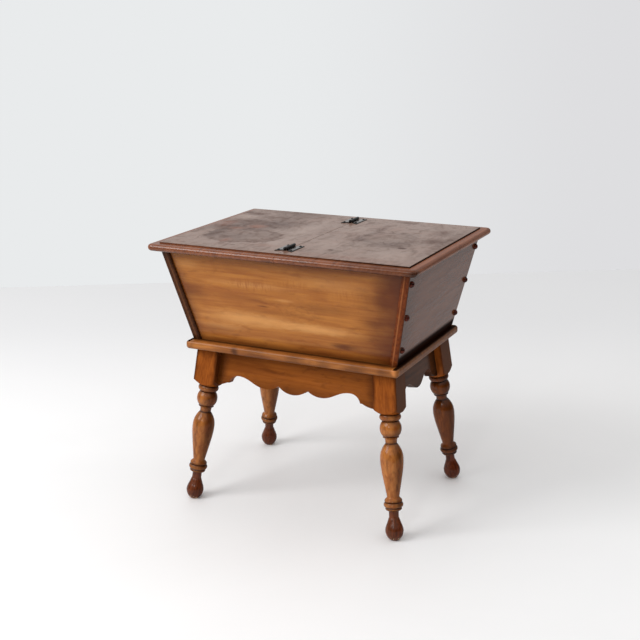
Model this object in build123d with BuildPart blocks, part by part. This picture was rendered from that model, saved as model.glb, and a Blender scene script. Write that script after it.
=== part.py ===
from build123d import *
import os
from math import cos, radians, sin, sqrt, tan

# A sugar chest of the dough-box form: a trough with four leaning walls stands on a turned stand
# and is closed by a lid in two leaves, one fixed and one hinged to it along the middle seam.
# Millimetres, +Z up. The origin is on the floor under the middle of the chest. +X runs along
# the chest towards its opening leaf and +Y runs to the back.

os.makedirs("parts", exist_ok=True)

# ---------------------------------------------------------------- driving dimensions

# Heights of the layers, from the floor up
STAND_HEIGHT = 385.5
BASE_THICKNESS = 20.0
TROUGH_HEIGHT = 223.5
NOSE_THICKNESS = 16.0
FIELD_RISE = 3.0

# Trough, measured where its walls meet the base board
END_FOOT_REACH = 263.0
SIDE_FOOT_REACH = 176.5
END_LEAN = 12.2
SIDE_LEAN = 12.65
END_THICKNESS = 19.05
SIDE_THICKNESS = 16.0
SIDE_RECESS = 7.8
END_EDGE_RADIUS = 4.5
BOTTOM_THICKNESS = 10.0
BOTTOM_EDGE_CLEARANCE = 0.3

# Base board
BASE_END_LEDGE = 9.8
BASE_SIDE_LEDGE = 20.5
BASE_CORNER_RADIUS = 8.5
BASE_EDGE_RADIUS = 7.0

# Lid leaves
LID_END_OVERHANG = 21.7
LID_SIDE_OVERHANG = 25.0
LID_CORNER_RADIUS = 12.0
LID_NOSE_RADIUS = 7.7
FIELD_MARGIN = 23.0
SEAM_GAP = 1.0
SEAM_EASE = 0.6
LEAF_REST_GAP = 0.4

# Legs
LEG_END_INSET = 45.5
LEG_SIDE_INSET = 57.2
LEG_END_SPLAY = 6.16
LEG_SIDE_SPLAY = 7.97
BLOCK_WIDTH = 57.0
BLOCK_FOOT = 290.8
BLOCK_EASE = 1.6
SHOULDER_RISE = 13.0
SHOULDER_BULGE = 0.6
SPIGOT_RADIUS = 22.4

# Turned foot and beads of a leg, stacked up its axis from the floor
FOOT_PAD_RADIUS = 6.0
FOOT_SPARE = 2.5
FOOT_SOLE_RADIUS = 16.0
FOOT_SOLE_HEIGHT = 6.0
FOOT_BULB_RADIUS = 21.0
FOOT_BULB_HEIGHT = 21.5
FOOT_TAPER_RADIUS = 14.6
FOOT_TAPER_HEIGHT = 43.5
FOOT_WAIST_RADIUS = 12.4
FOOT_WAIST_HEIGHT = 50.0
ANKLE_RADIUS = 11.3
ANKLE_HEIGHT = 59.5
ANKLE_FLARE = 9.5
COLLAR_ROOT_RADIUS = 16.0
COLLAR_RADIUS = 19.0
COLLAR_LENGTH = 6.6
QUIRK_RADIUS = 18.2
BEAD_RADIUS = 22.4
BEAD_LENGTH = 13.0
CUP_RADIUS = 20.3
CUP_RISE = 2.2
COVE_RADIUS = 14.4
COVE_LENGTH = 10.7
VASE_SPREAD = 0.17
VASE_TAPER_RADIUS = 22.2
VASE_TAPER_RISE = 44.5
VASE_RADIUS = 26.7
VASE_RISE = 82.5

# Turned top of a leg, stacked down its axis from the foot of its block
RING_SEAT_RADIUS = 21.6
RING_RADIUS = 24.6
RING_LENGTH = 15.6
BALL_RADIUS = 25.0
BALL_LENGTH = 35.3
RIM_RADIUS = 18.5
RIM_LENGTH = 3.0
NECK_RADIUS = 13.3
NECK_LENGTH = 13.5
VASE_SHOULDER_RADIUS = 24.0
VASE_SHOULDER_DROP = 18.5

# Aprons, with drops measured down from their top edge
APRON_THICKNESS = 19.05
END_LOBE_DROP = 93.8
NOTCH_DROP = 86.0
NOTCH_TO_BLOCK = 37.0
NOTCH_STEP = 5.0
ARCH_TO_BLOCK = 62.5
FRONT_ARCH_DROP = 66.4
SIDE_ARCH_DROP = 61.5
CUSP_REACH = 38.0
CUSP_DROP = 76.3
CENTRE_LOBE_DROP = 91.5
SIDE_LOBE_REACH = 72.0
SIDE_LOBE_DROP = 87.6
PATTERN_SHIFT = 4.7
END_CENTRE_DROP = 84.8
TENON_THICKNESS = 9.5
TENON_HEIGHT = 42.0
TENON_TOP_SHOULDER = 10.0
TENON_LENGTH = 16.0
MORTISE_CLEARANCE = 0.15
MORTISE_END_CLEARANCE = 1.0

# Glue blocks and cleats
GLUE_BLOCK_LENGTH = 60.0
GLUE_BLOCK_WIDTH = 22.0
GLUE_BLOCK_HEIGHT = 25.0
GLUE_BLOCK_REACH = 95.0
CLEAT_WIDTH = 20.0
CLEAT_HEIGHT = 19.0
CLEAT_END_GAP = 3.0
CLEAT_SEAM_GAP = 14.0

# Butterfly hinges
HINGE_INSET = 55.7
BARREL_LENGTH = 47.0
BARREL_RADIUS = 3.8
BARREL_RISE = 4.2
KNUCKLES = 5
KNUCKLE_GAP = 0.3
PLATE_THICKNESS = 2.0
PLATE_INNER_REACH = 5.5
PLATE_OUTER_REACH = 22.0
PLATE_INNER_LENGTH = 46.0
PLATE_OUTER_LENGTH = 63.0
PLATE_HOLLOW = 1.4
PLATE_BEVEL_DEPTH = 1.4
PLATE_BEVEL_WIDTH = 2.4
PIN_RADIUS = 2.0
PIN_CLEARANCE = 0.1
PIN_HEAD_RADIUS = 3.3
PIN_HEAD_THICKNESS = 1.8
HINGE_SCREW_REACH = 15.5
HINGE_SCREW_SPREAD = 23.0
HINGE_SCREW_LENGTH = 13.0
HINGE_SCREW_RADIUS = 1.8
HINGE_SCREW_HEAD_RADIUS = 3.5
HINGE_SCREW_HEAD_HEIGHT = 1.7

# Wood screws and buttons
SCREW_RADIUS = 2.1
SCREW_HEAD_RADIUS = 4.2
SCREW_HEAD_HEIGHT = 2.6
SCREW_TIP = 4.0
COUNTERSINK_ANGLE = 90.0
PILOT_CLEARANCE = 0.1
END_SCREW_LENGTH = 36.0
TROUGH_SCREW_LENGTH = 45.0
TROUGH_SCREW_SPACING = 85.0
TROUGH_SCREW_INSET = 9.5
LEG_SCREW_LENGTH = 50.0
GLUE_SCREW_LENGTH = 38.0
CLEAT_SCREW_LENGTH = 29.0
CLEAT_SCREW_SPACING = 170.0
BUTTON_FOOT_INSET = 38.3
BUTTON_TOP_INSET = 24.6
BUTTON_EDGE_INSET = 15.2
BUTTON_BORE_RADIUS = 4.8
BUTTON_BORE_DEPTH = 9.0
BUTTON_RADIUS = 7.3
BUTTON_DOME = 7.0
BUTTON_RIM = 1.2
BUTTON_STEM_CLEARANCE = 0.15
BUTTON_STEM_LENGTH = 5.0

# Spare length on blanks that a plane trims afterwards
TRIM = 15.0

# ---------------------------------------------------------------- sizes that follow

base_top = STAND_HEIGHT + BASE_THICKNESS
lid_underside = base_top + TROUGH_HEIGHT
nose_top = lid_underside + NOSE_THICKNESS
lid_top = nose_top + FIELD_RISE

base_length = 2 * (END_FOOT_REACH + BASE_END_LEDGE)
base_depth = 2 * (SIDE_FOOT_REACH + BASE_SIDE_LEDGE)
end_top_reach = END_FOOT_REACH + TROUGH_HEIGHT * tan(radians(END_LEAN))
side_top_reach = SIDE_FOOT_REACH + TROUGH_HEIGHT * tan(radians(SIDE_LEAN))
lid_half_length = end_top_reach + LID_END_OVERHANG
lid_half_depth = side_top_reach + LID_SIDE_OVERHANG
hinge_reach = lid_half_depth - FIELD_MARGIN - HINGE_INSET

leg_top_reach = base_length / 2 - LEG_END_INSET
leg_top_depth = base_depth / 2 - LEG_SIDE_INSET
foot_reach = leg_top_reach + STAND_HEIGHT * tan(radians(LEG_END_SPLAY))
foot_depth = leg_top_depth + STAND_HEIGHT * tan(radians(LEG_SIDE_SPLAY))

floor_level = Plane.XY
stand_level = Plane.XY.offset(STAND_HEIGHT)
base_level = Plane.XY.offset(base_top)
lid_level = Plane.XY.offset(lid_underside)
under_base = Plane(origin=(0, 0, STAND_HEIGHT), x_dir=(1, 0, 0), z_dir=(0, 0, -1))

ENDS = {"left": -1, "right": 1}
SIDES = {"front": -1, "back": 1}


def save(piece, name):
    """Label one finished piece and write it to its own file."""
    piece.part.label = name
    export_step(piece.part, f"parts/{name}.step")


# ---------------------------------------------------------------- planes the walls share


def leaning_plane(outward, reach, height, lean):
    """Plane on a leaning face: X runs along it, Y up the slope and Z straight out of it."""
    direction = Vector(*outward)
    slope = radians(lean)
    normal = direction * cos(slope) - Vector(0, 0, 1) * sin(slope)
    along = Vector(-direction.Y, direction.X, 0)
    return Plane(origin=direction * reach + Vector(0, 0, height), x_dir=along, z_dir=normal)


def end_face(end):
    """Outer face of an end panel."""
    return leaning_plane((end, 0), END_FOOT_REACH, base_top, END_LEAN)


def side_face(side):
    """Outer face of the front or back panel, set back behind the end panels' edges."""
    setback = SIDE_RECESS / cos(radians(SIDE_LEAN))
    return leaning_plane((0, side), SIDE_FOOT_REACH - setback, base_top, SIDE_LEAN)


def end_apron_core(end):
    """Middle plane of an end apron, through the axes of its two legs."""
    return leaning_plane((end, 0), leg_top_reach, STAND_HEIGHT, -LEG_END_SPLAY)


def side_apron_core(side):
    """Middle plane of the front or back apron, through the axes of its two legs."""
    return leaning_plane((0, side), leg_top_depth, STAND_HEIGHT, -LEG_SIDE_SPLAY)


def leg_frame(end, side):
    """Frame of one leg: origin on the floor, Z up the leg's axis."""
    foot = (end * foot_reach, side * foot_depth, 0)
    axis = (-end * tan(radians(LEG_END_SPLAY)), -side * tan(radians(LEG_SIDE_SPLAY)), 1)
    return Plane(origin=foot, x_dir=(1, 0, 0), z_dir=axis)


def block_cheek(end, side, along_x):
    """Inner face of a leg's block, its normal pointing to the middle of the stand."""
    frame = leg_frame(end, side)
    if along_x:
        inward = frame.x_dir * -end
    else:
        inward = frame.y_dir * -side
    return Plane(origin=frame.origin + inward * (BLOCK_WIDTH / 2), z_dir=inward)


def side_cheeks(side):
    """The two block faces that the front or back apron stands between."""
    return [block_cheek(end, side, True) for end in ENDS.values()]


def end_cheeks(end):
    """The two block faces that an end apron stands between."""
    return [block_cheek(end, side, False) for side in SIDES.values()]


# ---------------------------------------------------------------- screws and their places


def flat_head_screw(length):
    """Countersunk screw: its head is flush with the local XY plane, its point is down."""
    with BuildPart() as screw:
        with BuildSketch(Plane.XZ):
            with BuildLine():
                Polyline(
                    (0, 0),
                    (SCREW_HEAD_RADIUS, 0),
                    (SCREW_RADIUS, SCREW_RADIUS - SCREW_HEAD_RADIUS),
                    (SCREW_RADIUS, SCREW_TIP - length),
                    (0, -length),
                    close=True,
                )
            make_face()
        revolve(axis=Axis.Z)
    return screw.part


def raised_head_screw(length, shank, head, rise):
    """Screw whose domed head stands on the local XY plane, its point is down."""
    with BuildPart() as screw:
        with BuildSketch(Plane.XZ):
            with BuildLine():
                crown = TangentArc((0, rise), (head, 0), tangent=(1, 0))
                Polyline(crown @ 1, (shank, 0), (shank, SCREW_TIP - length), (0, -length), crown @ 0)
            make_face()
        revolve(axis=Axis.Z)
    return screw.part


def end_screw_places(end):
    """Places of the six screws through one end panel, pointing out of its face."""
    face = end_face(end)
    top = TROUGH_HEIGHT - BUTTON_TOP_INSET
    places = []
    for height in (BUTTON_FOOT_INSET, (BUTTON_FOOT_INSET + top) / 2, top):
        half_width = SIDE_FOOT_REACH + height * tan(radians(SIDE_LEAN)) - BUTTON_EDGE_INSET
        slope_height = height / cos(radians(END_LEAN))
        places.append(face.location * Pos(-half_width, slope_height, 0))
        places.append(face.location * Pos(half_width, slope_height, 0))
    return places


def trough_screw_places():
    """Places on the base board's underside of the screws up into the end panels."""
    reach = END_FOOT_REACH - TROUGH_SCREW_INSET
    offsets = [-TROUGH_SCREW_SPACING, 0, TROUGH_SCREW_SPACING]
    return [under_base.location * Pos(end * reach, y, 0) for end in ENDS.values() for y in offsets]


def leg_screw_places():
    """Places on the base board's top of the screws down into the legs."""
    places = []
    for end in ENDS.values():
        for side in SIDES.values():
            places.append(base_level.location * Pos(end * leg_top_reach, side * leg_top_depth, 0))
    return places


def glue_block_centres():
    """Name and middle of each glue block in plan."""
    side_middle = leg_top_depth - APRON_THICKNESS / 2 - GLUE_BLOCK_WIDTH / 2
    end_middle = leg_top_reach - APRON_THICKNESS / 2 - GLUE_BLOCK_WIDTH / 2
    centres = {}
    for side_name, side in SIDES.items():
        for end_name, end in ENDS.items():
            centres[f"{side_name}_{end_name}_glue_block"] = (end * GLUE_BLOCK_REACH, side * side_middle)
    for end_name, end in ENDS.items():
        centres[f"{end_name}_glue_block"] = (end * end_middle, 0)
    return centres


def glue_screw_places():
    """Places under the glue blocks of the screws up into the base board."""
    drop = GLUE_BLOCK_HEIGHT
    return [under_base.location * Pos(x, -y, drop) for x, y in glue_block_centres().values()]


cleat_inner_end = CLEAT_SEAM_GAP
cleat_outer_end = (
    end_top_reach
    - CLEAT_HEIGHT * tan(radians(END_LEAN))
    - END_THICKNESS / cos(radians(END_LEAN))
    - CLEAT_END_GAP
)
cleat_length = cleat_outer_end - cleat_inner_end
cleat_middle = -(cleat_outer_end + cleat_inner_end) / 2
side_inner_top = side_top_reach - (SIDE_RECESS + SIDE_THICKNESS) / cos(radians(SIDE_LEAN))


def cleat_screw_places():
    """Places under the cleats of the screws up into the fixed leaf."""
    under_cleats = Plane(origin=(cleat_middle, 0, lid_underside - CLEAT_HEIGHT), z_dir=(0, 0, -1))
    row = side_inner_top - CLEAT_WIDTH / 2
    offsets = (-CLEAT_SCREW_SPACING / 2, CLEAT_SCREW_SPACING / 2)
    return [under_cleats.location * Pos(x, side * row, 0) for side in SIDES.values() for x in offsets]


def hinge_screw_places(leaf, hinge, height):
    """Places of the two screws through one hinge plate."""
    x = leaf * HINGE_SCREW_REACH
    middle = hinge * hinge_reach
    return [Pos(x, middle + end * HINGE_SCREW_SPREAD, height) for end in ENDS.values()]


# ---------------------------------------------------------------- lid leaves


def lid_leaf(leaf, rest_gap):
    """Half of the lid: a bull-nosed board with a raised field, drilled for its hinge plates."""
    outward = Plane(origin=(0, 0, lid_underside + rest_gap), x_dir=(leaf, 0, 0), z_dir=(0, 0, 1))
    board_length = lid_half_length - SEAM_GAP / 2
    field_length = board_length - FIELD_MARGIN
    thickness = NOSE_THICKNESS - rest_gap
    with BuildPart() as board:
        with BuildSketch(outward):
            with Locations((SEAM_GAP / 2, 0)):
                Rectangle(board_length, 2 * lid_half_depth, align=(Align.MIN, Align.CENTER))
            fillet(vertices().group_by(Axis.X)[-1], LID_CORNER_RADIUS)
        extrude(amount=thickness)
        seam_face = board.faces().sort_by(Axis.X)[0 if leaf > 0 else -1]
        level_faces = [board.faces().sort_by(Axis.Z)[0], board.faces().sort_by(Axis.Z)[-1]]
        nose_edges = [edge for face in level_faces for edge in face.edges() if edge not in seam_face.edges()]
        fillet(nose_edges, LID_NOSE_RADIUS)
        with BuildSketch(outward.offset(thickness)):
            with Locations((SEAM_GAP / 2, 0)):
                Rectangle(field_length, 2 * (lid_half_depth - FIELD_MARGIN), align=(Align.MIN, Align.CENTER))
        extrude(amount=FIELD_RISE)
        seam_top = board.edges().filter_by(Axis.Y).group_by(Axis.Z)[-1].sort_by(Axis.X)[0 if leaf > 0 else -1]
        chamfer(seam_top, SEAM_EASE)
        for hinge in SIDES.values():
            with Locations(*hinge_screw_places(leaf, hinge, lid_top)):
                Hole(radius=HINGE_SCREW_RADIUS + PILOT_CLEARANCE, depth=HINGE_SCREW_LENGTH)
        if leaf < 0:
            with Locations(*cleat_screw_places()):
                Hole(radius=SCREW_RADIUS + PILOT_CLEARANCE, depth=CLEAT_SCREW_LENGTH + PILOT_CLEARANCE)
    return board


save(lid_leaf(-1, 0), "lid_fixed_leaf")
save(lid_leaf(1, LEAF_REST_GAP), "lid_opening_leaf")

# ---------------------------------------------------------------- butterfly hinges

slot = BARREL_LENGTH / KNUCKLES
barrel_end = BARREL_LENGTH / 2 - KNUCKLE_GAP / 2


def hinge_plate(leaf, hinge):
    """Flared plate with its share of the knuckles; the fixed leaf has the outer ones."""
    deck = Plane(origin=(0, hinge * hinge_reach, lid_top), x_dir=(leaf, 0, 0), z_dir=(0, 0, 1))
    section = Plane(origin=deck.origin, x_dir=deck.x_dir, z_dir=-deck.y_dir)
    first = 0 if leaf < 0 else 1
    with BuildPart() as plate:
        with BuildSketch(deck):
            with BuildLine():
                waist = (PLATE_INNER_REACH, PLATE_INNER_LENGTH / 2)
                flare = SagittaArc(waist, (PLATE_OUTER_REACH, PLATE_OUTER_LENGTH / 2), PLATE_HOLLOW)
                Line(flare @ 1, (PLATE_OUTER_REACH, 0))
                Line(flare @ 0, (PLATE_INNER_REACH, 0))
                mirror(about=Plane.XZ)
            make_face()
        extrude(amount=PLATE_THICKNESS)
        top_face = plate.faces().sort_by(Axis.Z)[-1]
        rim = top_face.edges().sort_by(Axis.X if leaf > 0 else -Axis.X)[1:]
        chamfer(rim, length=PLATE_BEVEL_WIDTH, length2=PLATE_BEVEL_DEPTH, reference=top_face)
        for index in range(first, KNUCKLES, 2):
            start = -BARREL_LENGTH / 2 + index * slot + KNUCKLE_GAP / 2
            with BuildSketch(section.offset(start)):
                with Locations((0, BARREL_RISE)):
                    Circle(BARREL_RADIUS)
                Rectangle(PLATE_INNER_REACH, PLATE_THICKNESS, align=(Align.MIN, Align.MIN))
                with Locations((0, BARREL_RISE)):
                    Circle(PIN_RADIUS + PIN_CLEARANCE, mode=Mode.SUBTRACT)
            extrude(amount=slot - KNUCKLE_GAP)
        with Locations(*hinge_screw_places(leaf, hinge, lid_top + PLATE_THICKNESS)):
            Hole(radius=HINGE_SCREW_RADIUS + PILOT_CLEARANCE, depth=PLATE_THICKNESS)
    return plate


def hinge_pin(hinge):
    """Pin with a domed head at each end, seated on the outer knuckles."""
    middle = Plane(origin=(0, hinge * hinge_reach, lid_top + BARREL_RISE), z_dir=(0, 1, 0))
    section = Plane(origin=middle.origin, x_dir=(0, 1, 0), z_dir=(1, 0, 0))
    head_end = barrel_end + PIN_HEAD_THICKNESS
    with BuildPart() as pin:
        with BuildSketch(section):
            with BuildLine():
                crown = TangentArc((head_end, 0), (barrel_end, PIN_HEAD_RADIUS), tangent=(0, 1))
                Polyline(crown @ 1, (barrel_end, PIN_RADIUS), (0, PIN_RADIUS), (0, 0), crown @ 0)
            make_face()
        revolve(axis=Axis(middle.origin, (0, 1, 0)))
        mirror(about=middle)
    return pin


def hinge_screws(leaf, hinge):
    """The two screws of one hinge plate."""
    length = HINGE_SCREW_LENGTH + PLATE_THICKNESS - PILOT_CLEARANCE
    screw = raised_head_screw(length, HINGE_SCREW_RADIUS, HINGE_SCREW_HEAD_RADIUS, HINGE_SCREW_HEAD_HEIGHT)
    with BuildPart() as pair:
        with Locations(*hinge_screw_places(leaf, hinge, lid_top + PLATE_THICKNESS)):
            add(screw)
    return pair


for hinge_name, hinge in SIDES.items():
    save(hinge_pin(hinge), f"{hinge_name}_hinge_pin")
    for leaf_name, leaf in {"fixed": -1, "moving": 1}.items():
        save(hinge_plate(leaf, hinge), f"{hinge_name}_hinge_{leaf_name}_plate")
        save(hinge_screws(leaf, hinge), f"{hinge_name}_hinge_{leaf_name}_screws")

# ---------------------------------------------------------------- trough


def end_panel(end):
    """Leaning end wall with eased edges, counterbored for the screws into the side walls."""
    face = end_face(end)
    top = TROUGH_HEIGHT + TRIM
    slope = cos(radians(END_LEAN))
    with BuildPart() as panel:
        with BuildSketch(face):
            with BuildLine():
                Polyline(
                    (0, -TRIM / slope),
                    (SIDE_FOOT_REACH - TRIM * tan(radians(SIDE_LEAN)), -TRIM / slope),
                    (SIDE_FOOT_REACH + top * tan(radians(SIDE_LEAN)), top / slope),
                    (0, top / slope),
                )
                mirror(about=Plane.YZ)
            make_face()
        extrude(amount=-END_THICKNESS)
        fillet(panel.edges().filter_by(lambda edge: abs(edge.tangent_at(0.5).Z) > 0.8), END_EDGE_RADIUS)
        split(bisect_by=base_level, keep=Keep.TOP)
        split(bisect_by=lid_level, keep=Keep.BOTTOM)
        with Locations(*end_screw_places(end)):
            CounterBoreHole(
                radius=SCREW_RADIUS + PILOT_CLEARANCE,
                counter_bore_radius=BUTTON_BORE_RADIUS,
                counter_bore_depth=BUTTON_BORE_DEPTH,
                depth=END_THICKNESS,
            )
        with Locations(*trough_screw_places()):
            Cylinder(
                radius=SCREW_RADIUS + PILOT_CLEARANCE,
                height=TROUGH_SCREW_LENGTH + PILOT_CLEARANCE,
                align=(Align.CENTER, Align.CENTER, Align.MAX),
                mode=Mode.SUBTRACT,
            )
    return panel


def side_panel(side):
    """Leaning front or back wall, fitted between the end walls."""
    blank = 2 * (end_top_reach + TRIM)
    with BuildPart() as panel:
        with BuildSketch(side_face(side)):
            with Locations((0, TROUGH_HEIGHT / 2)):
                Rectangle(blank, TROUGH_HEIGHT + 2 * TRIM)
        extrude(amount=-SIDE_THICKNESS)
        split(bisect_by=base_level, keep=Keep.TOP)
        split(bisect_by=lid_level, keep=Keep.BOTTOM)
        for end in ENDS.values():
            split(bisect_by=end_face(end).offset(-END_THICKNESS), keep=Keep.BOTTOM)
        for end in ENDS.values():
            with Locations(*end_screw_places(end)):
                Hole(
                    radius=SCREW_RADIUS + PILOT_CLEARANCE,
                    depth=BUTTON_BORE_DEPTH + END_SCREW_LENGTH + PILOT_CLEARANCE,
                )
    return panel


def end_screws(end):
    """Six screws sunk in the counterbores of one end panel."""
    screw = raised_head_screw(END_SCREW_LENGTH, SCREW_RADIUS, SCREW_HEAD_RADIUS, SCREW_HEAD_HEIGHT)
    with BuildPart() as screws:
        with Locations(*[place * Pos(0, 0, -BUTTON_BORE_DEPTH) for place in end_screw_places(end)]):
            add(screw)
    return screws


def end_buttons(end):
    """Six mushroom buttons that plug the counterbores of one end panel."""
    stem = BUTTON_BORE_RADIUS - BUTTON_STEM_CLEARANCE
    with BuildPart() as button:
        with BuildSketch(Plane.XZ):
            with BuildLine():
                crown = TangentArc((0, BUTTON_DOME), (BUTTON_RADIUS, BUTTON_RIM), tangent=(1, 0))
                Polyline(
                    crown @ 1,
                    (BUTTON_RADIUS, 0),
                    (stem, 0),
                    (stem, -BUTTON_STEM_LENGTH),
                    (0, -BUTTON_STEM_LENGTH),
                    crown @ 0,
                )
            make_face()
        revolve(axis=Axis.Z)
    with BuildPart() as buttons:
        with Locations(*end_screw_places(end)):
            add(button.part)
    return buttons


for end_name, end in ENDS.items():
    save(end_panel(end), f"{end_name}_end_panel")
    save(end_screws(end), f"{end_name}_end_screws")
    save(end_buttons(end), f"{end_name}_end_buttons")

for side_name, side in SIDES.items():
    save(side_panel(side), f"{side_name}_panel")

with BuildPart() as trough_bottom:
    with BuildSketch(base_level):
        Rectangle(base_length, base_depth)
    extrude(amount=BOTTOM_THICKNESS)
    for side in SIDES.values():
        side_inner_face = side_face(side).offset(-SIDE_THICKNESS - BOTTOM_EDGE_CLEARANCE)
        split(bisect_by=side_inner_face, keep=Keep.BOTTOM)
    for end in ENDS.values():
        end_inner_face = end_face(end).offset(-END_THICKNESS - BOTTOM_EDGE_CLEARANCE)
        split(bisect_by=end_inner_face, keep=Keep.BOTTOM)
save(trough_bottom, "trough_bottom")

with BuildPart() as trough_screws:
    with Locations(*trough_screw_places()):
        add(flat_head_screw(TROUGH_SCREW_LENGTH))
save(trough_screws, "trough_screws")

# ---------------------------------------------------------------- cleats under the fixed leaf


def lid_cleat(side):
    """Strip in the angle between a side wall and the fixed leaf."""
    with BuildPart() as cleat:
        with BuildSketch(lid_level):
            with Locations((cleat_middle, side * side_inner_top)):
                Rectangle(cleat_length, 2 * CLEAT_WIDTH)
        extrude(amount=-CLEAT_HEIGHT)
        split(bisect_by=side_face(side).offset(-SIDE_THICKNESS), keep=Keep.BOTTOM)
        with Locations(*cleat_screw_places()):
            CounterSinkHole(
                radius=SCREW_RADIUS + PILOT_CLEARANCE,
                counter_sink_radius=SCREW_HEAD_RADIUS,
                depth=CLEAT_HEIGHT,
                counter_sink_angle=COUNTERSINK_ANGLE,
            )
    return cleat


for side_name, side in SIDES.items():
    save(lid_cleat(side), f"{side_name}_lid_cleat")

with BuildPart() as lid_cleat_screws:
    with Locations(*cleat_screw_places()):
        add(flat_head_screw(CLEAT_SCREW_LENGTH))
save(lid_cleat_screws, "lid_cleat_screws")

# ---------------------------------------------------------------- base board

with BuildPart() as base_board:
    with BuildSketch(stand_level):
        RectangleRounded(base_length, base_depth, BASE_CORNER_RADIUS)
    extrude(amount=BASE_THICKNESS)
    fillet(base_board.edges().group_by(Axis.Z)[0] + base_board.edges().group_by(Axis.Z)[-1], BASE_EDGE_RADIUS)
    with Locations(*trough_screw_places(), *leg_screw_places()):
        CounterSinkHole(
            radius=SCREW_RADIUS + PILOT_CLEARANCE,
            counter_sink_radius=SCREW_HEAD_RADIUS,
            depth=BASE_THICKNESS,
            counter_sink_angle=COUNTERSINK_ANGLE,
        )
    with Locations(*glue_screw_places()):
        Hole(radius=SCREW_RADIUS + PILOT_CLEARANCE, depth=GLUE_SCREW_LENGTH + PILOT_CLEARANCE)
save(base_board, "base_board")

with BuildPart() as leg_screws:
    with Locations(*leg_screw_places()):
        add(flat_head_screw(LEG_SCREW_LENGTH))
save(leg_screws, "leg_screws")

# ---------------------------------------------------------------- aprons


def apron_tongue(core, cheeks, clearance, end_clearance):
    """Thin core of an apron that runs into both blocks; clearances widen it into the mortises."""
    with BuildPart() as tongue:
        with BuildSketch(core):
            with Locations((0, -TENON_TOP_SHOULDER - TENON_HEIGHT / 2)):
                Rectangle(2 * foot_reach, TENON_HEIGHT + 2 * clearance)
        extrude(amount=TENON_THICKNESS / 2 + clearance, both=True)
        for cheek in cheeks:
            split(bisect_by=cheek.offset(-TENON_LENGTH - end_clearance), keep=Keep.TOP)
    return tongue.part


def apron(core, cheeks, block_reach, middle, arch_drop, shift):
    """Scalloped board between two blocks; middle draws its lower edge from the centre to the arch."""
    notch = block_reach - NOTCH_TO_BLOCK
    arch = block_reach - ARCH_TO_BLOCK
    blank_end = block_reach + BLOCK_WIDTH
    with BuildPart() as board:
        with BuildSketch(core.location * Pos(shift, 0, 0)):
            with BuildLine():
                for curve in middle(arch, arch_drop):
                    add(curve)
                hollow = TangentArc((arch, -arch_drop), (notch, -NOTCH_DROP), tangent=(1, 0))
                step = Line(hollow @ 1, (notch + NOTCH_STEP, -NOTCH_DROP))
                lobe = TangentArc((block_reach, -END_LOBE_DROP), step @ 1, tangent=(-1, 0))
                Polyline(lobe @ 0, (blank_end, -END_LOBE_DROP), (blank_end, TRIM), (0, TRIM))
                mirror(about=Plane.YZ)
            make_face()
        extrude(amount=APRON_THICKNESS / 2, both=True)
        for cheek in cheeks:
            split(bisect_by=cheek, keep=Keep.TOP)
        add(apron_tongue(core, cheeks, 0, 0))
        split(bisect_by=stand_level, keep=Keep.BOTTOM)
    return board


def cusped_middle(arch, arch_drop):
    """Centre lobe between two cusps, then a side lobe that rises in an ogee to the arch."""
    cusp = (CUSP_REACH, -CUSP_DROP)
    lobe = (SIDE_LOBE_REACH, -SIDE_LOBE_DROP)
    centre_lobe = TangentArc((0, -CENTRE_LOBE_DROP), cusp, tangent=(1, 0), mode=Mode.PRIVATE)
    side_lobe = TangentArc(lobe, cusp, tangent=(-1, 0), mode=Mode.PRIVATE)
    ogee = Spline(lobe, (arch, -arch_drop), tangents=((1, 0), (1, 0)), mode=Mode.PRIVATE)
    return [centre_lobe, side_lobe, ogee]


def plain_middle(arch, arch_drop):
    """Single centre lobe that rises in an ogee to the arch."""
    start = (0, -END_CENTRE_DROP)
    return [Spline(start, (arch, -arch_drop), tangents=((1, 0), (1, 0)), mode=Mode.PRIVATE)]


lobe_splay = END_LOBE_DROP * tan(radians(LEG_END_SPLAY))
lobe_depth_splay = END_LOBE_DROP * tan(radians(LEG_SIDE_SPLAY))

for side_name, side in SIDES.items():
    reach = leg_top_reach + lobe_splay - BLOCK_WIDTH / 2
    shift = side * PATTERN_SHIFT
    board = apron(side_apron_core(side), side_cheeks(side), reach, cusped_middle, FRONT_ARCH_DROP, shift)
    save(board, f"{side_name}_apron")

for end_name, end in ENDS.items():
    reach = leg_top_depth + lobe_depth_splay - BLOCK_WIDTH / 2
    board = apron(end_apron_core(end), end_cheeks(end), reach, plain_middle, SIDE_ARCH_DROP, 0)
    save(board, f"{end_name}_apron")

# ---------------------------------------------------------------- legs


def turned_bead(foot, radius, length):
    """Half-round bead between two quirks, from its foot up the axis."""
    start, crest, end = (QUIRK_RADIUS, foot), (radius, foot + length / 2), (QUIRK_RADIUS, foot + length)
    return ThreePointArc(start, crest, end, mode=Mode.PRIVATE)


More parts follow.
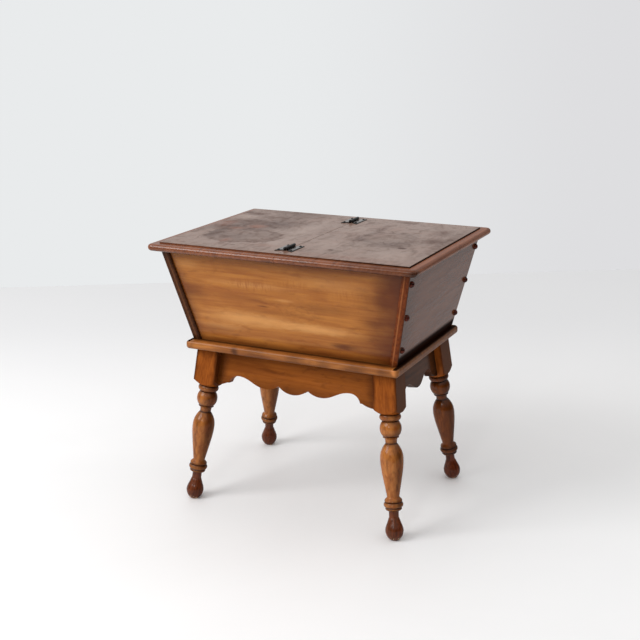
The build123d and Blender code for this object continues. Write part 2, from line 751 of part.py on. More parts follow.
def turned_foot():
    """Outline of the foot from the floor to the cup above the beads, as radius and height."""
    bulb = Spline(
        (FOOT_PAD_RADIUS, -FOOT_SPARE),
        (FOOT_SOLE_RADIUS, FOOT_SOLE_HEIGHT),
        (FOOT_BULB_RADIUS, FOOT_BULB_HEIGHT),
        (FOOT_TAPER_RADIUS, FOOT_TAPER_HEIGHT),
        (FOOT_WAIST_RADIUS, FOOT_WAIST_HEIGHT),
        (ANKLE_RADIUS, ANKLE_HEIGHT),
        tangents=((1, 0.5), (0, 1)),
        mode=Mode.PRIVATE,
    )
    root = (COLLAR_ROOT_RADIUS, ANKLE_HEIGHT + ANKLE_FLARE)
    flare = Spline(bulb @ 1, root, tangents=((0, 1), (1, 0)), mode=Mode.PRIVATE)
    bead_foot = root[1] + COLLAR_LENGTH
    collar_crest = (COLLAR_RADIUS, root[1] + COLLAR_LENGTH / 2)
    collar = ThreePointArc(root, collar_crest, (QUIRK_RADIUS, bead_foot), mode=Mode.PRIVATE)
    bead = turned_bead(bead_foot, BEAD_RADIUS, BEAD_LENGTH)
    cup_crest = (CUP_RADIUS, bead_foot + BEAD_LENGTH + CUP_RISE)
    cup = TangentArc(cup_crest, bead @ 1, tangent=(0, -1), mode=Mode.PRIVATE)
    return [bulb, flare, collar, bead, cup]


def turned_head():
    """Outline from the vase's neck to the block, as radius and height."""
    ring_foot = BLOCK_FOOT - RING_LENGTH
    ball_foot = ring_foot - BALL_LENGTH
    rim_foot = ball_foot - RIM_LENGTH
    neck = (NECK_RADIUS, rim_foot - NECK_LENGTH)
    hollow = Spline(neck, (RIM_RADIUS, rim_foot), tangents=((0, 1), (1, 0.2)), mode=Mode.PRIVATE)
    rim = Line(hollow @ 1, (QUIRK_RADIUS, ball_foot), mode=Mode.PRIVATE)
    ball = turned_bead(ball_foot, BALL_RADIUS, BALL_LENGTH)
    ring_crest = (RING_RADIUS, BLOCK_FOOT - RING_LENGTH / 2)
    ring = ThreePointArc(ball @ 1, ring_crest, (RING_SEAT_RADIUS, BLOCK_FOOT), mode=Mode.PRIVATE)
    spigot = Line(ring @ 1, (RING_SEAT_RADIUS, BLOCK_FOOT + SHOULDER_RISE), mode=Mode.PRIVATE)
    return [hollow, rim, ball, ring, spigot]


def turned_outline():
    """Half section of the turned leg from the foot to the spigot in its block."""
    foot = turned_foot()
    head = turned_head()
    cove_foot = foot[-1] @ 0
    neck = head[0] @ 0
    cove_top = Vector(COVE_RADIUS, cove_foot.Y + COVE_LENGTH)
    spread = (VASE_SPREAD, 1)
    cove = Spline(cove_foot, cove_top, tangents=((0, 1), spread), mode=Mode.PRIVATE)
    vase = Spline(
        cove_top,
        cove_top + (VASE_TAPER_RADIUS - COVE_RADIUS, VASE_TAPER_RISE),
        cove_top + (VASE_RADIUS - COVE_RADIUS, VASE_RISE),
        (VASE_SHOULDER_RADIUS, neck.Y - VASE_SHOULDER_DROP),
        neck,
        tangents=(spread, (-0.9, 1)),
        mode=Mode.PRIVATE,
    )
    return [*foot, cove, vase, *head]


def turned_leg(end, side):
    """One leg: a square block with turned shoulders above a turned, vase-shaped leg."""
    frame = leg_frame(end, side)
    section = Plane(origin=frame.origin, x_dir=frame.x_dir, z_dir=-frame.y_dir)
    axis = Axis(frame.origin, frame.z_dir)
    block_top = STAND_HEIGHT / frame.z_dir.Z + TRIM
    corner = BLOCK_WIDTH / sqrt(2)
    shoulder_top = BLOCK_FOOT + SHOULDER_RISE
    trim_foot = BLOCK_FOOT - TRIM
    with BuildPart() as leg:
        with BuildSketch(frame.offset(BLOCK_FOOT)):
            RectangleRounded(BLOCK_WIDTH, BLOCK_WIDTH, BLOCK_EASE)
        extrude(amount=block_top - BLOCK_FOOT)
        with BuildSketch(section):
            with BuildLine():
                shoulder = SagittaArc((SPIGOT_RADIUS, BLOCK_FOOT), (corner, shoulder_top), -SHOULDER_BULGE)
                Polyline(shoulder @ 1, (corner, trim_foot), (SPIGOT_RADIUS, trim_foot), shoulder @ 0)
            make_face()
        revolve(axis=axis, mode=Mode.SUBTRACT)
        with BuildSketch(section):
            with BuildLine():
                outline = turned_outline()
                for curve in outline:
                    add(curve)
                Polyline(outline[-1] @ 1, (0, shoulder_top), (0, -FOOT_SPARE), outline[0] @ 0)
            make_face()
        revolve(axis=axis)
        split(bisect_by=floor_level, keep=Keep.TOP)
        split(bisect_by=stand_level, keep=Keep.BOTTOM)
        tongues = [
            apron_tongue(side_apron_core(side), side_cheeks(side), MORTISE_CLEARANCE, MORTISE_END_CLEARANCE),
            apron_tongue(end_apron_core(end), end_cheeks(end), MORTISE_CLEARANCE, MORTISE_END_CLEARANCE),
        ]
        add(tongues, mode=Mode.SUBTRACT)
        with Locations(*leg_screw_places()):
            Hole(radius=SCREW_RADIUS + PILOT_CLEARANCE, depth=LEG_SCREW_LENGTH + PILOT_CLEARANCE)
    return leg


for side_name, side in SIDES.items():
    for end_name, end in ENDS.items():
        save(turned_leg(end, side), f"{side_name}_{end_name}_leg")

# ---------------------------------------------------------------- glue blocks


def glue_block(x, y):
    """Block in the angle between the base board and an apron, bevelled to lie on the apron."""
    along_x = abs(y) > 0
    size = (GLUE_BLOCK_LENGTH, GLUE_BLOCK_WIDTH) if along_x else (GLUE_BLOCK_WIDTH, GLUE_BLOCK_LENGTH)
    outward = Vector(0, y, 0).normalized() if along_x else Vector(x, 0, 0).normalized()
    core = side_apron_core(outward.Y) if along_x else end_apron_core(outward.X)
    middle = Vector(x, y) + outward * (TRIM / 2)
    with BuildPart() as block:
        with BuildSketch(stand_level):
            with Locations((middle.X, middle.Y)):
                Rectangle(size[0] + TRIM * abs(outward.X), size[1] + TRIM * abs(outward.Y))
        extrude(amount=-GLUE_BLOCK_HEIGHT)
        split(bisect_by=core.offset(-APRON_THICKNESS / 2), keep=Keep.BOTTOM)
        with Locations(*glue_screw_places()):
            CounterSinkHole(
                radius=SCREW_RADIUS + PILOT_CLEARANCE,
                counter_sink_radius=SCREW_HEAD_RADIUS,
                depth=GLUE_BLOCK_HEIGHT,
                counter_sink_angle=COUNTERSINK_ANGLE,
            )
    return block


for block_name, (x, y) in glue_block_centres().items():
    save(glue_block(x, y), block_name)

with BuildPart() as glue_block_screws:
    with Locations(*glue_screw_places()):
        add(flat_head_screw(GLUE_SCREW_LENGTH))
save(glue_block_screws, "glue_block_screws")
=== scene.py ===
"""Finishes and small hardware of a sugar chest of the dough-box form, in its studio.

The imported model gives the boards, legs and hinges. This script stains and varnishes each of them,
cuts the driver slots of the hinge screws and sets the floor, the lights and the camera. Metres, in the
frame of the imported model: the origin is on the floor under the chest, +X runs towards the opening
leaf, +Y to the back and +Z up.
"""

import logging
import math
from dataclasses import dataclass, field
from enum import Enum

import bmesh
import bpy
from mathutils import Matrix, Vector

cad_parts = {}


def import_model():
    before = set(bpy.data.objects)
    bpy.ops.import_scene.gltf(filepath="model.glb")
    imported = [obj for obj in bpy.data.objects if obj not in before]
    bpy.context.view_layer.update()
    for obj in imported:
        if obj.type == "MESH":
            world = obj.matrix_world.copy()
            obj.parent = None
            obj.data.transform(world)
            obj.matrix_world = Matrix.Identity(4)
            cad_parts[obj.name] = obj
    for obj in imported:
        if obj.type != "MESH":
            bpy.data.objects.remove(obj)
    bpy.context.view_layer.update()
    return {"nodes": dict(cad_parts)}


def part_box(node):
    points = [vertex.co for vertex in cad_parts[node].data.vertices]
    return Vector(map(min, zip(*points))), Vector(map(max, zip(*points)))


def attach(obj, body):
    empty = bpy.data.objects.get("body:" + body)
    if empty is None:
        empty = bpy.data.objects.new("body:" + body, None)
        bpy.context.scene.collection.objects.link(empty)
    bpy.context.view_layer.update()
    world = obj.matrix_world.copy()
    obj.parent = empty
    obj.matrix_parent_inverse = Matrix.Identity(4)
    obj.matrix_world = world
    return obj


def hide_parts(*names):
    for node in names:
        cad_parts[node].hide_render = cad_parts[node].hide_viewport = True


LOG = logging.getLogger("sugar_chest")

Colour = tuple[float, float, float, float]
Triple = tuple[float, float, float]
Pair = tuple[float, float]

X_AXIS = Vector((1, 0, 0)).freeze()
Y_AXIS = Vector((0, 1, 0)).freeze()
Z_AXIS = Vector((0, 0, 1)).freeze()
ENDS = {"left": -1, "right": 1}
SIDES = {"front": -1, "back": 1}

# Lean of the trough's walls and splay of the legs, as the joiner sets them
END_LEAN = math.radians(12.2)
SIDE_LEAN = math.radians(12.65)
LEG_END_SPLAY = math.radians(6.16)
LEG_SIDE_SPLAY = math.radians(7.97)


# ---------------------------------------------------------------- colours and patterns


def srgb(red: int, green: int, blue: int) -> Colour:
    """Turns display values from 0 to 255 into linear light.

    Args:
        red: Red.
        green: Green.
        blue: Blue.

    Returns:
        The colour in linear light, with full alpha.
    """
    channels = []
    for value in (red, green, blue):
        share = value / 255
        channels.append(share / 12.92 if share <= 0.04045 else ((share + 0.055) / 1.055) ** 2.4)
    return (*channels, 1.0)


# Painted highlight: pale colour laid on the front and back panels where the varnish catches the light.
PANEL_PAINTED_HIGHLIGHT = srgb(222, 160, 94)
CLOUDED_VARNISH = srgb(136, 112, 100)
LID_CLOUDS = srgb(76, 54, 43)
BLOOM = srgb(168, 146, 134)
WATER_STAIN = srgb(66, 38, 28)
BLUSH = srgb(126, 78, 58)
# Dark worn patches on the lid's nose, and painted shadow under it.
NOSE_WEAR_AND_SHADOW = srgb(26, 9, 5)
# Painted shade for the crease round the lid's raised field.
CREASE_PAINTED_SHADE = srgb(18, 7, 4)
# Painted highlight on the base board's rounded front corners.
CORNER_PAINTED_HIGHLIGHT = srgb(222, 140, 72)
# Painted shade on the base board's ledges under the leaning walls.
LEDGE_PAINTED_SHADE = srgb(22, 8, 4)
# Painted dark band at the foot of the end panels: shade and the reflection of the dark ledge.
FOOT_PAINTED_SHADE_AND_REFLECTION = srgb(20, 7, 4)
END_LIGHT = srgb(106, 59, 33)
END_DARK = srgb(92, 49, 28)
# Painted highlight along the arris of an end panel's front edge.
ARRIS_PAINTED_HIGHLIGHT = srgb(196, 124, 74)
FOOT_LIGHT = srgb(98, 45, 23)
FOOT_DARK = srgb(66, 27, 13)
SCUFFED_SOLE = srgb(176, 140, 104)
BLOCK_LIGHT = srgb(160, 87, 33)
BLOCK_DARK = srgb(130, 67, 25)
IRON_BLACK = srgb(9, 8, 8)
IRON_BROWN = srgb(30, 25, 22)
IRON_POLISHED = srgb(72, 62, 56)
BUTTON_BLACK = srgb(14, 6, 4)
BUTTON_RED = srgb(112, 40, 18)
BUTTON_DARK_RED = srgb(48, 14, 7)
STEEL_DARK = srgb(120, 116, 110)
STEEL_LIGHT = srgb(170, 166, 160)
FLOOR_DARK = srgb(237, 237, 237)
FLOOR_LIGHT = srgb(247, 246, 246)
# Painted shade for the far part of the floor, where the light falls off.
FLOOR_PAINTED_FALLOFF = srgb(229, 229, 230)
WALL_LEFT = srgb(233, 235, 236)
WALL_RIGHT = srgb(222, 222, 224)


class Tone(Enum):
    """The stains used on the chest, from pale early wood over late wood to the deepest shading."""

    AMBER = (srgb(184, 118, 52), srgb(142, 75, 29), srgb(78, 26, 6))
    HONEY = (srgb(184, 116, 54), srgb(118, 64, 26), srgb(50, 18, 6))
    TAWNY = (srgb(156, 88, 34), srgb(110, 54, 18), srgb(42, 14, 5))
    WALNUT = (srgb(84, 48, 26), srgb(58, 32, 17), srgb(20, 8, 4))
    GOLDEN = (srgb(186, 118, 58), srgb(128, 64, 26), srgb(46, 16, 6))
    ORANGE = (srgb(174, 108, 52), srgb(114, 58, 25), srgb(44, 16, 6))
    CHESTNUT = (srgb(132, 70, 26), srgb(88, 42, 15), srgb(30, 11, 5))
    RUSSET = (srgb(124, 60, 24), srgb(84, 36, 14), srgb(30, 10, 5))
    MAROON = (srgb(138, 82, 52), srgb(100, 54, 34), srgb(34, 12, 7))
    RAW = (srgb(188, 144, 98), srgb(158, 112, 70), srgb(110, 70, 40))

    def __init__(self, light: Colour, dark: Colour, shade: Colour) -> None:
        """Names the three colours of the stain."""
        self.light = light
        self.dark = dark
        self.shade = shade


class Pattern(Enum):
    """Kinds of noise: cells per metre along each axis, octaves of finer noise and warp."""

    FIBRE = ((900, 900, 22), 2, 0.0)
    STREAKS = ((150, 150, 6), 5, 0.3)
    RING_PULL = ((14, 14, 2.2), 2, 0.6)
    PLANING = ((45, 45, 9), 2, 0.0)
    CLOUDS = ((26, 26, 7), 4, 0.5)
    BLOTCHES = ((70, 70, 26), 4, 0.5)
    SPECKS = ((330, 330, 240), 1, 0.0)
    EDGE_WOBBLE = ((24, 24, 10), 3, 0.0)
    RAW_GRAIN = ((140, 140, 6), 3, 0.0)
    PANEL_PULL = ((26, 26, 90), 5, 1.0)
    CURLS = ((190, 20, 34), 2, 0.3)
    KNOT_PULL = ((34, 34, 60), 4, 0.8)
    LID_HAZE = ((9, 12, 9), 5, 1.2)
    LID_PULL = ((26, 26, 26), 4, 0.8)
    LID_MOTTLE = ((40, 26, 40), 6, 1.4)
    LID_SMEARS = ((30, 9, 9), 4, 1.0)
    RAGGED = ((150, 150, 150), 3, 0.5)
    LEDGE_PULL = ((90, 90, 90), 3, 0.4)
    END_STREAKS = ((60, 60, 9), 5, 0.6)
    ARRIS_BREAKS = ((50, 50, 30), 3, 0.0)
    GROOVE_BREAKS = ((60, 60, 20), 2, 0.0)
    SCORCH = ((70, 70, 40), 4, 0.0)
    LEG_MOTTLE = ((95, 95, 48), 5, 0.9)
    FOOT_STREAKS = ((230, 230, 34), 4, 0.5)
    SCUFFS = ((190, 190, 120), 3, 0.0)
    LEE_SHADE_BREAKS = ((60, 60, 22), 4, 0.0)
    BLOCK_GRAIN = ((170, 170, 26), 6, 0.8)
    BLOCK_CLOUDS = ((42, 42, 30), 4, 0.6)
    BLOCK_WOBBLE = ((50, 50, 24), 3, 0.0)
    IRON_PATCHES = ((260, 260, 260), 4, 0.4)
    IRON_PITS = ((1800, 1800, 1800), 2, 0.0)
    BUTTON_FIBRE = ((1500, 300, 1500), 2, 0.0)
    BUTTON_WEAR = ((130, 130, 130), 3, 0.5)
    SCRATCHES = ((900, 900, 5000), 3, 0.0)
    FLOOR_SMEARS = ((1.4, 1.4, 1.4), 4, 0.8)

    def __init__(self, scale: Triple, detail: float, warp: float) -> None:
        """Names the measures of the noise."""
        self.scale = scale
        self.detail = detail
        self.warp = warp


# ---------------------------------------------------------------- node graphs


class Wire:
    """A value that runs through a node graph, with sums and products as operators."""

    def __init__(self, graph: "NodeGraph", socket: bpy.types.NodeSocket) -> None:
        """Takes the output socket of a node."""
        self.graph = graph
        self.socket = socket

    def __add__(self, other: object) -> "Wire":
        """Sum."""
        return self.graph.math("ADD", self, other)

    def __sub__(self, other: object) -> "Wire":
        """Difference."""
        return self.graph.math("SUBTRACT", self, other)

    def __rsub__(self, other: object) -> "Wire":
        """Difference from a plain number."""
        return self.graph.math("SUBTRACT", other, self)

    def __mul__(self, other: object) -> "Wire":
        """Product."""
        return self.graph.math("MULTIPLY", self, other)

    def __abs__(self) -> "Wire":
        """Size without its sign."""
        return self.graph.math("ABSOLUTE", self)

    def smooth(self, low: float, high: float, start: float = 0.0, end: float = 1.0) -> "Wire":
        """Changes smoothly from start, where the value is low, to end, where it is high."""
        return self.graph.remap("SMOOTHSTEP", self, (low, high), (start, end))

    def fall(self, low: float, high: float) -> "Wire":
        """Falls smoothly from 1 at low to 0 at high."""
        return self.smooth(low, high, 1.0, 0.0)

    def spread(self, start: float, end: float) -> "Wire":
        """Stretches a value that runs from 0 to 1 over another range."""
        return self.graph.remap("LINEAR", self, (0.0, 1.0), (start, end))


class NodeGraph:
    """A material's or a world's node tree with short calls for the nodes that this script needs."""

    def __init__(self, owner: bpy.types.Material | bpy.types.World) -> None:
        """Clears the node tree of its owner."""
        owner.use_nodes = True
        self.owner = owner
        self.tree = owner.node_tree
        self.tree.nodes.clear()
        self.coordinates = self.node("ShaderNodeTexCoord")
        self.place = Wire(self, self.coordinates.outputs["Object"])

    def node(self, kind: str, **settings: object) -> bpy.types.Node:
        """Adds a node and sets its properties."""
        made = self.tree.nodes.new(kind)
        for key, value in settings.items():
            setattr(made, key, value)
        return made

    def feed(self, socket: bpy.types.NodeSocket, value: object) -> None:
        """Links a socket to a wire, or gives it a plain value."""
        if isinstance(value, Wire):
            self.tree.links.new(value.socket, socket)
        else:
            socket.default_value = value

    def along(self, direction: Vector, place: Wire | None = None) -> Wire:
        """Distance along a direction, of the place on the object or of another place."""
        return self.vector("DOT_PRODUCT", place or self.place, direction)

    def past(self, halves: Pair) -> tuple[Wire, ...]:
        """Distances past the end and past the long side of a rectangle about the origin."""
        return tuple(abs(self.along(axis)) - half for axis, half in zip((X_AXIS, Y_AXIS), halves))

    def in_frame(self, origin: Vector, axis: Vector) -> Wire:
        """Place on the object, seen from a frame whose Z runs along an axis."""
        mapping = self.node("ShaderNodeMapping", vector_type="TEXTURE")
        mapping.inputs["Location"].default_value = origin
        mapping.inputs["Rotation"].default_value = axis.to_track_quat("Z", "Y").to_euler()
        self.feed(mapping.inputs["Vector"], self.place)
        return Wire(self, mapping.outputs["Vector"])

    def vector(self, operation: str, first: object, second: object = (0, 0, 0)) -> Wire:
        """Result of a vector operation, a number where it is a dot product or a length."""
        made = self.node("ShaderNodeVectorMath", operation=operation)
        self.feed(made.inputs[0], first)
        self.feed(made.inputs[1], second)
        is_number = operation in ("DOT_PRODUCT", "LENGTH", "DISTANCE")
        return Wire(self, made.outputs["Value" if is_number else "Vector"])

    def math(self, operation: str, *values: object, clamp: bool = False) -> Wire:
        """Result of a scalar operation."""
        made = self.node("ShaderNodeMath", operation=operation, use_clamp=clamp)
        for socket, value in zip(made.inputs, values):
            self.feed(socket, value)
        return Wire(self, made.outputs[0])

    def extreme(self, operation: str, *values: Wire) -> Wire:
        """MAXIMUM or MINIMUM of any number of values."""
        result = values[0]
        for value in values[1:]:
            result = self.math(operation, result, value)
        return result

    def remap(self, kind: str, value: Wire, span: Pair, ends: Pair) -> Wire:
        """Maps a value from one range to another.

        Args:
            kind: Kind of interpolation.
            value: What is mapped.
            span: Where the change starts and ends.
            ends: Results at both ends.

        Returns:
            The result.
        """
        made = self.node("ShaderNodeMapRange", interpolation_type=kind)
        made.inputs["From Min"].default_value, made.inputs["From Max"].default_value = span
        made.inputs["To Min"].default_value, made.inputs["To Max"].default_value = ends
        self.feed(made.inputs["Value"], value)
        return Wire(self, made.outputs["Result"])

    def noise(self, pattern: Pattern, place: Wire | None = None) -> Wire:
        """Fractal noise from 0 to 1, read at the place on the object or at another place."""
        made = self.node("ShaderNodeTexNoise", noise_dimensions="3D")
        self.feed(made.inputs["Vector"], self.vector("MULTIPLY", place or self.place, pattern.scale))
        made.inputs["Scale"].default_value = 1.0
        made.inputs["Detail"].default_value = pattern.detail
        made.inputs["Distortion"].default_value = pattern.warp
        return Wire(self, made.outputs["Fac"])

    def mix(self, share: Wire, first: object, second: object) -> Wire:
        """Blends two colours."""
        made = self.node("ShaderNodeMix", data_type="RGBA")
        self.feed(made.inputs["Factor"], share)
        self.feed(made.inputs[6], first)
        self.feed(made.inputs[7], second)
        return Wire(self, made.outputs[2])

    def paint(
        self, colour: Wire, stains: tuple["Stain", ...], pull: Wire, tint: Colour, within: Wire | None = None
    ) -> Wire:
        """Lays oval marks over a colour.

        Args:
            colour: What they lie on.
            stains: The marks.
            pull: Noise that makes their rims uneven.
            tint: Their colour.
            within: Where they show, from 0 to 1.

        Returns:
            The marked colour.
        """
        for stain in stains:
            share = stain.mask(self, pull)
            colour = self.mix(share if within is None else share * within, colour, tint)
        return colour

    def bump(self, height: Wire, distance: float, normal: Wire | None = None) -> Wire:
        """Normal of a surface with relief.

        Args:
            height: Relief from 0 to 1.
            distance: Depth of the relief, in metres.
            normal: Normal of a coarser relief under it.

        Returns:
            The normal.
        """
        made = self.node("ShaderNodeBump")
        made.inputs["Strength"].default_value = 1.0
        made.inputs["Distance"].default_value = distance
        self.feed(made.inputs["Height"], height)
        if normal is not None:
            self.feed(made.inputs["Normal"], normal)
        return Wire(self, made.outputs["Normal"])

    def surface(
        self, colour: Wire, roughness: object, normal: Wire, coat: object = 0.0, **others: object
    ) -> bpy.types.Material:
        """Closes the graph with a principled surface.

        Args:
            colour: Base colour.
            roughness: Roughness.
            normal: Normal with relief.
            coat: Weight of the varnish over it.
            **others: Values of other sockets, with _ for each space in their names.

        Returns:
            The finished material.
        """
        shader = self.node("ShaderNodeBsdfPrincipled")
        output = self.node("ShaderNodeOutputMaterial")
        sockets = {
            "Base Color": colour,
            "Roughness": roughness,
            "Normal": normal,
            "Coat Normal": normal,
            "Coat Weight": coat,
            **{key.replace("_", " "): value for key, value in others.items()},
        }
        for key, value in sockets.items():
            self.feed(shader.inputs[key], value)
        self.tree.links.new(shader.outputs["BSDF"], output.inputs["Surface"])
        return self.owner


# ---------------------------------------------------------------- marks and edges


@dataclass(frozen=True)
class EdgePlane:
    """A face of a board, how far its shading reaches into the board and how strong it is."""

    point: Vector
    normal: Vector
    width: float
    depth: float = 1.0

    def distance(self, graph: NodeGraph) -> Wire:
        """Distance past the plane, in metres."""
        return graph.along(self.normal) - self.normal.dot(self.point)

    def shade(self, graph: NodeGraph, wobble: Wire | None = None) -> Wire:
        """Rises from 0 inside to the depth on the plane; noise from 0 to 1 makes its border uneven."""
        distance = self.distance(graph)
        if wobble is not None:
            uneven = 0.3 * self.width
            distance = distance + wobble.spread(-uneven, uneven)
        return distance.smooth(-self.width, 0.0, 0.0, self.depth)


@dataclass(frozen=True)
class Stain:
    """An oval mark on a board.

    Attributes:
        centre: Its middle.
        radii: Its half widths along X, Y and Z; 0 along an axis that it runs through.
        strength: How strong it is, from 0 to 1.
        ring: How much fainter its inside is than its rim, from 0 to 1.
        core: Where its outer edge starts to fade, as a share of its half widths.
        reach: Where its outer edge ends, likewise.
        uneven: How far noise moves its rim, likewise.
        rim: Where its rim starts and is full, likewise.
    """

    centre: Triple
    radii: Triple
    strength: float
    ring: float = 0.0
    core: float = 0.1
    reach: float = 1.15
    uneven: float = 0.3
    rim: Pair = (0.7, 0.95)

    def mask(self, graph: NodeGraph, pull: Wire) -> Wire:
        """Strength of the mark at each place."""
        scale = tuple(1 / radius if radius > 0 else 0.0 for radius in self.radii)
        offset = graph.vector("MULTIPLY", graph.vector("SUBTRACT", graph.place, self.centre), scale)
        radius = graph.vector("LENGTH", offset) + pull.spread(-self.uneven, self.uneven)
        inside = radius.fall(self.core, self.reach)
        if self.ring > 0:
            inside = inside * radius.smooth(*self.rim, 1 - self.ring, 1.0)
        return inside * self.strength


def marks(through: int, *rows: tuple[float, ...]) -> tuple[Stain, ...]:
    """Makes marks that run through a board.

    Args:
        through: Axis that they run through, 1 for Y and 2 for Z.
        *rows: Place and then half width along the two other axes, strength, and ring, core and reach
            where these differ from a stain's own.

    Returns:
        The marks.
    """
    stains = []
    for row in rows:
        centre, radii = list(row[:2]), list(row[2:4])
        centre.insert(through, 0.0)
        radii.insert(through, 0.0)
        stains.append(Stain(tuple(centre), tuple(radii), *row[4:]))
    return tuple(stains)


LID_STAINS = marks(
    2,
    (-0.170, -0.088, 0.098, 0.078, 0.48, 0.42, 0.95, 1.04),
    (-0.246, -0.086, 0.028, 0.060, 0.6),
    (-0.180, -0.105, 0.070, 0.050, 0.3),
    (-0.225, 0.062, 0.105, 0.050, 0.55, 0.0, 0.3),
    (-0.145, 0.175, 0.080, 0.050, 0.38),
    (-0.210, 0.020, 0.130, 0.030, 0.4, 0.0, 0.3),
    (-0.258, -0.010, 0.045, 0.050, 0.6, 0.0, 0.3),
    (-0.150, 0.045, 0.056, 0.050, 0.5, 0.0, 0.3),
    (-0.190, -0.012, 0.060, 0.030, 0.4, 0.0, 0.3),
    (-0.185, 0.130, 0.110, 0.060, 0.3),
    (-0.272, 0.168, 0.040, 0.030, 0.6),
    (-0.305, 0.180, 0.018, 0.030, 0.55),
    (-0.180, 0.215, 0.150, 0.040, 0.42),
    (-0.140, 0.085, 0.100, 0.050, 0.4),
    (-0.300, -0.020, 0.030, 0.080, 0.35),
    (0.158, 0.016, 0.068, 0.066, 0.3, 0.8, 0.9, 1.15),
    (0.162, 0.000, 0.100, 0.110, 0.2, 0.0, 0.3),
    (0.267, 0.025, 0.036, 0.050, 0.55),
    (0.300, 0.030, 0.022, 0.200, 0.45),
    (0.100, -0.025, 0.040, 0.028, 0.42),
    (0.195, -0.062, 0.066, 0.026, 0.42),
    (0.134, 0.205, 0.042, 0.016, 0.5),
    (0.105, 0.110, 0.014, 0.070, 0.35),
    (0.255, 0.120, 0.040, 0.060, 0.4),
    (0.210, -0.030, 0.060, 0.030, 0.3),
    (0.171, -0.120, 0.034, 0.005, 0.45),
    (0.231, -0.072, 0.012, 0.009, 0.8, 0.0, 0.4),
    (0.090, -0.148, 0.009, 0.008, 0.85, 0.0, 0.4),
)
LID_BLUSHES = marks(
    2,
    (-0.285, 0.030, 0.032, 0.046, 0.6),
    (-0.190, 0.022, 0.032, 0.026, 0.8, 0.0, 0.3),
    (-0.226, -0.016, 0.028, 0.022, 0.6),
    (-0.182, -0.146, 0.016, 0.030, 0.6),
    (-0.066, -0.165, 0.036, 0.018, 0.35),
    (0.140, -0.205, 0.180, 0.022, 0.3),
)
LID_BLOOMS = marks(
    2,
    (-0.273, 0.122, 0.036, 0.036, 0.5),
    (-0.187, 0.028, 0.020, 0.012, 0.4),
    (-0.133, -0.108, 0.034, 0.026, 0.4),
    (-0.062, 0.040, 0.034, 0.140, 0.4),
    (-0.055, -0.130, 0.036, 0.080, 0.3),
    (0.050, 0.085, 0.036, 0.050, 0.3),
    (0.160, 0.015, 0.050, 0.040, 0.3),
    (0.060, -0.100, 0.050, 0.060, 0.3),
    (0.240, -0.150, 0.070, 0.060, 0.35),
)
PANEL_SMUDGES = marks(
    1,
    (0.136, 0.436, 0.044, 0.010, 0.8),
    (-0.245, 0.530, 0.050, 0.034, 0.42),
    (-0.120, 0.528, 0.120, 0.012, 0.16),
    (0.020, 0.500, 0.110, 0.008, 0.15),
    (-0.060, 0.498, 0.060, 0.005, 0.2),
    (0.262, 0.436, 0.044, 0.040, 0.4),
    (-0.200, 0.440, 0.080, 0.014, 0.25),
    (0.090, 0.522, 0.100, 0.016, 0.3),
    (0.270, 0.600, 0.060, 0.040, 0.4),
    (-0.060, 0.512, 0.020, 0.003, 0.6),
    (0.240, 0.560, 0.026, 0.036, 0.5),
    (0.215, 0.500, 0.030, 0.012, 0.4),
    (0.070, 0.425, 0.120, 0.010, 0.2),
)
# Painted highlights on the front and back panels.
PANEL_PAINTED_HIGHLIGHTS = marks(
    1,
    (-0.250, 0.598, 0.040, 0.014, 0.25),
    (-0.080, 0.562, 0.130, 0.010, 0.35),
    (-0.100, 0.474, 0.160, 0.024, 0.66),
    (0.070, 0.470, 0.130, 0.015, 0.75),
    (-0.180, 0.448, 0.080, 0.010, 0.4),
    (0.120, 0.585, 0.120, 0.024, 0.3),
    (-0.005, 0.532, 0.030, 0.005, 0.35),
)
PANEL_CURLS = marks(
    1,
    (-0.085, 0.560, 0.085, 0.020, 0.5),
    (0.020, 0.575, 0.070, 0.014, 0.3),
    (0.150, 0.560, 0.060, 0.020, 0.25),
)


# ---------------------------------------------------------------- finishes


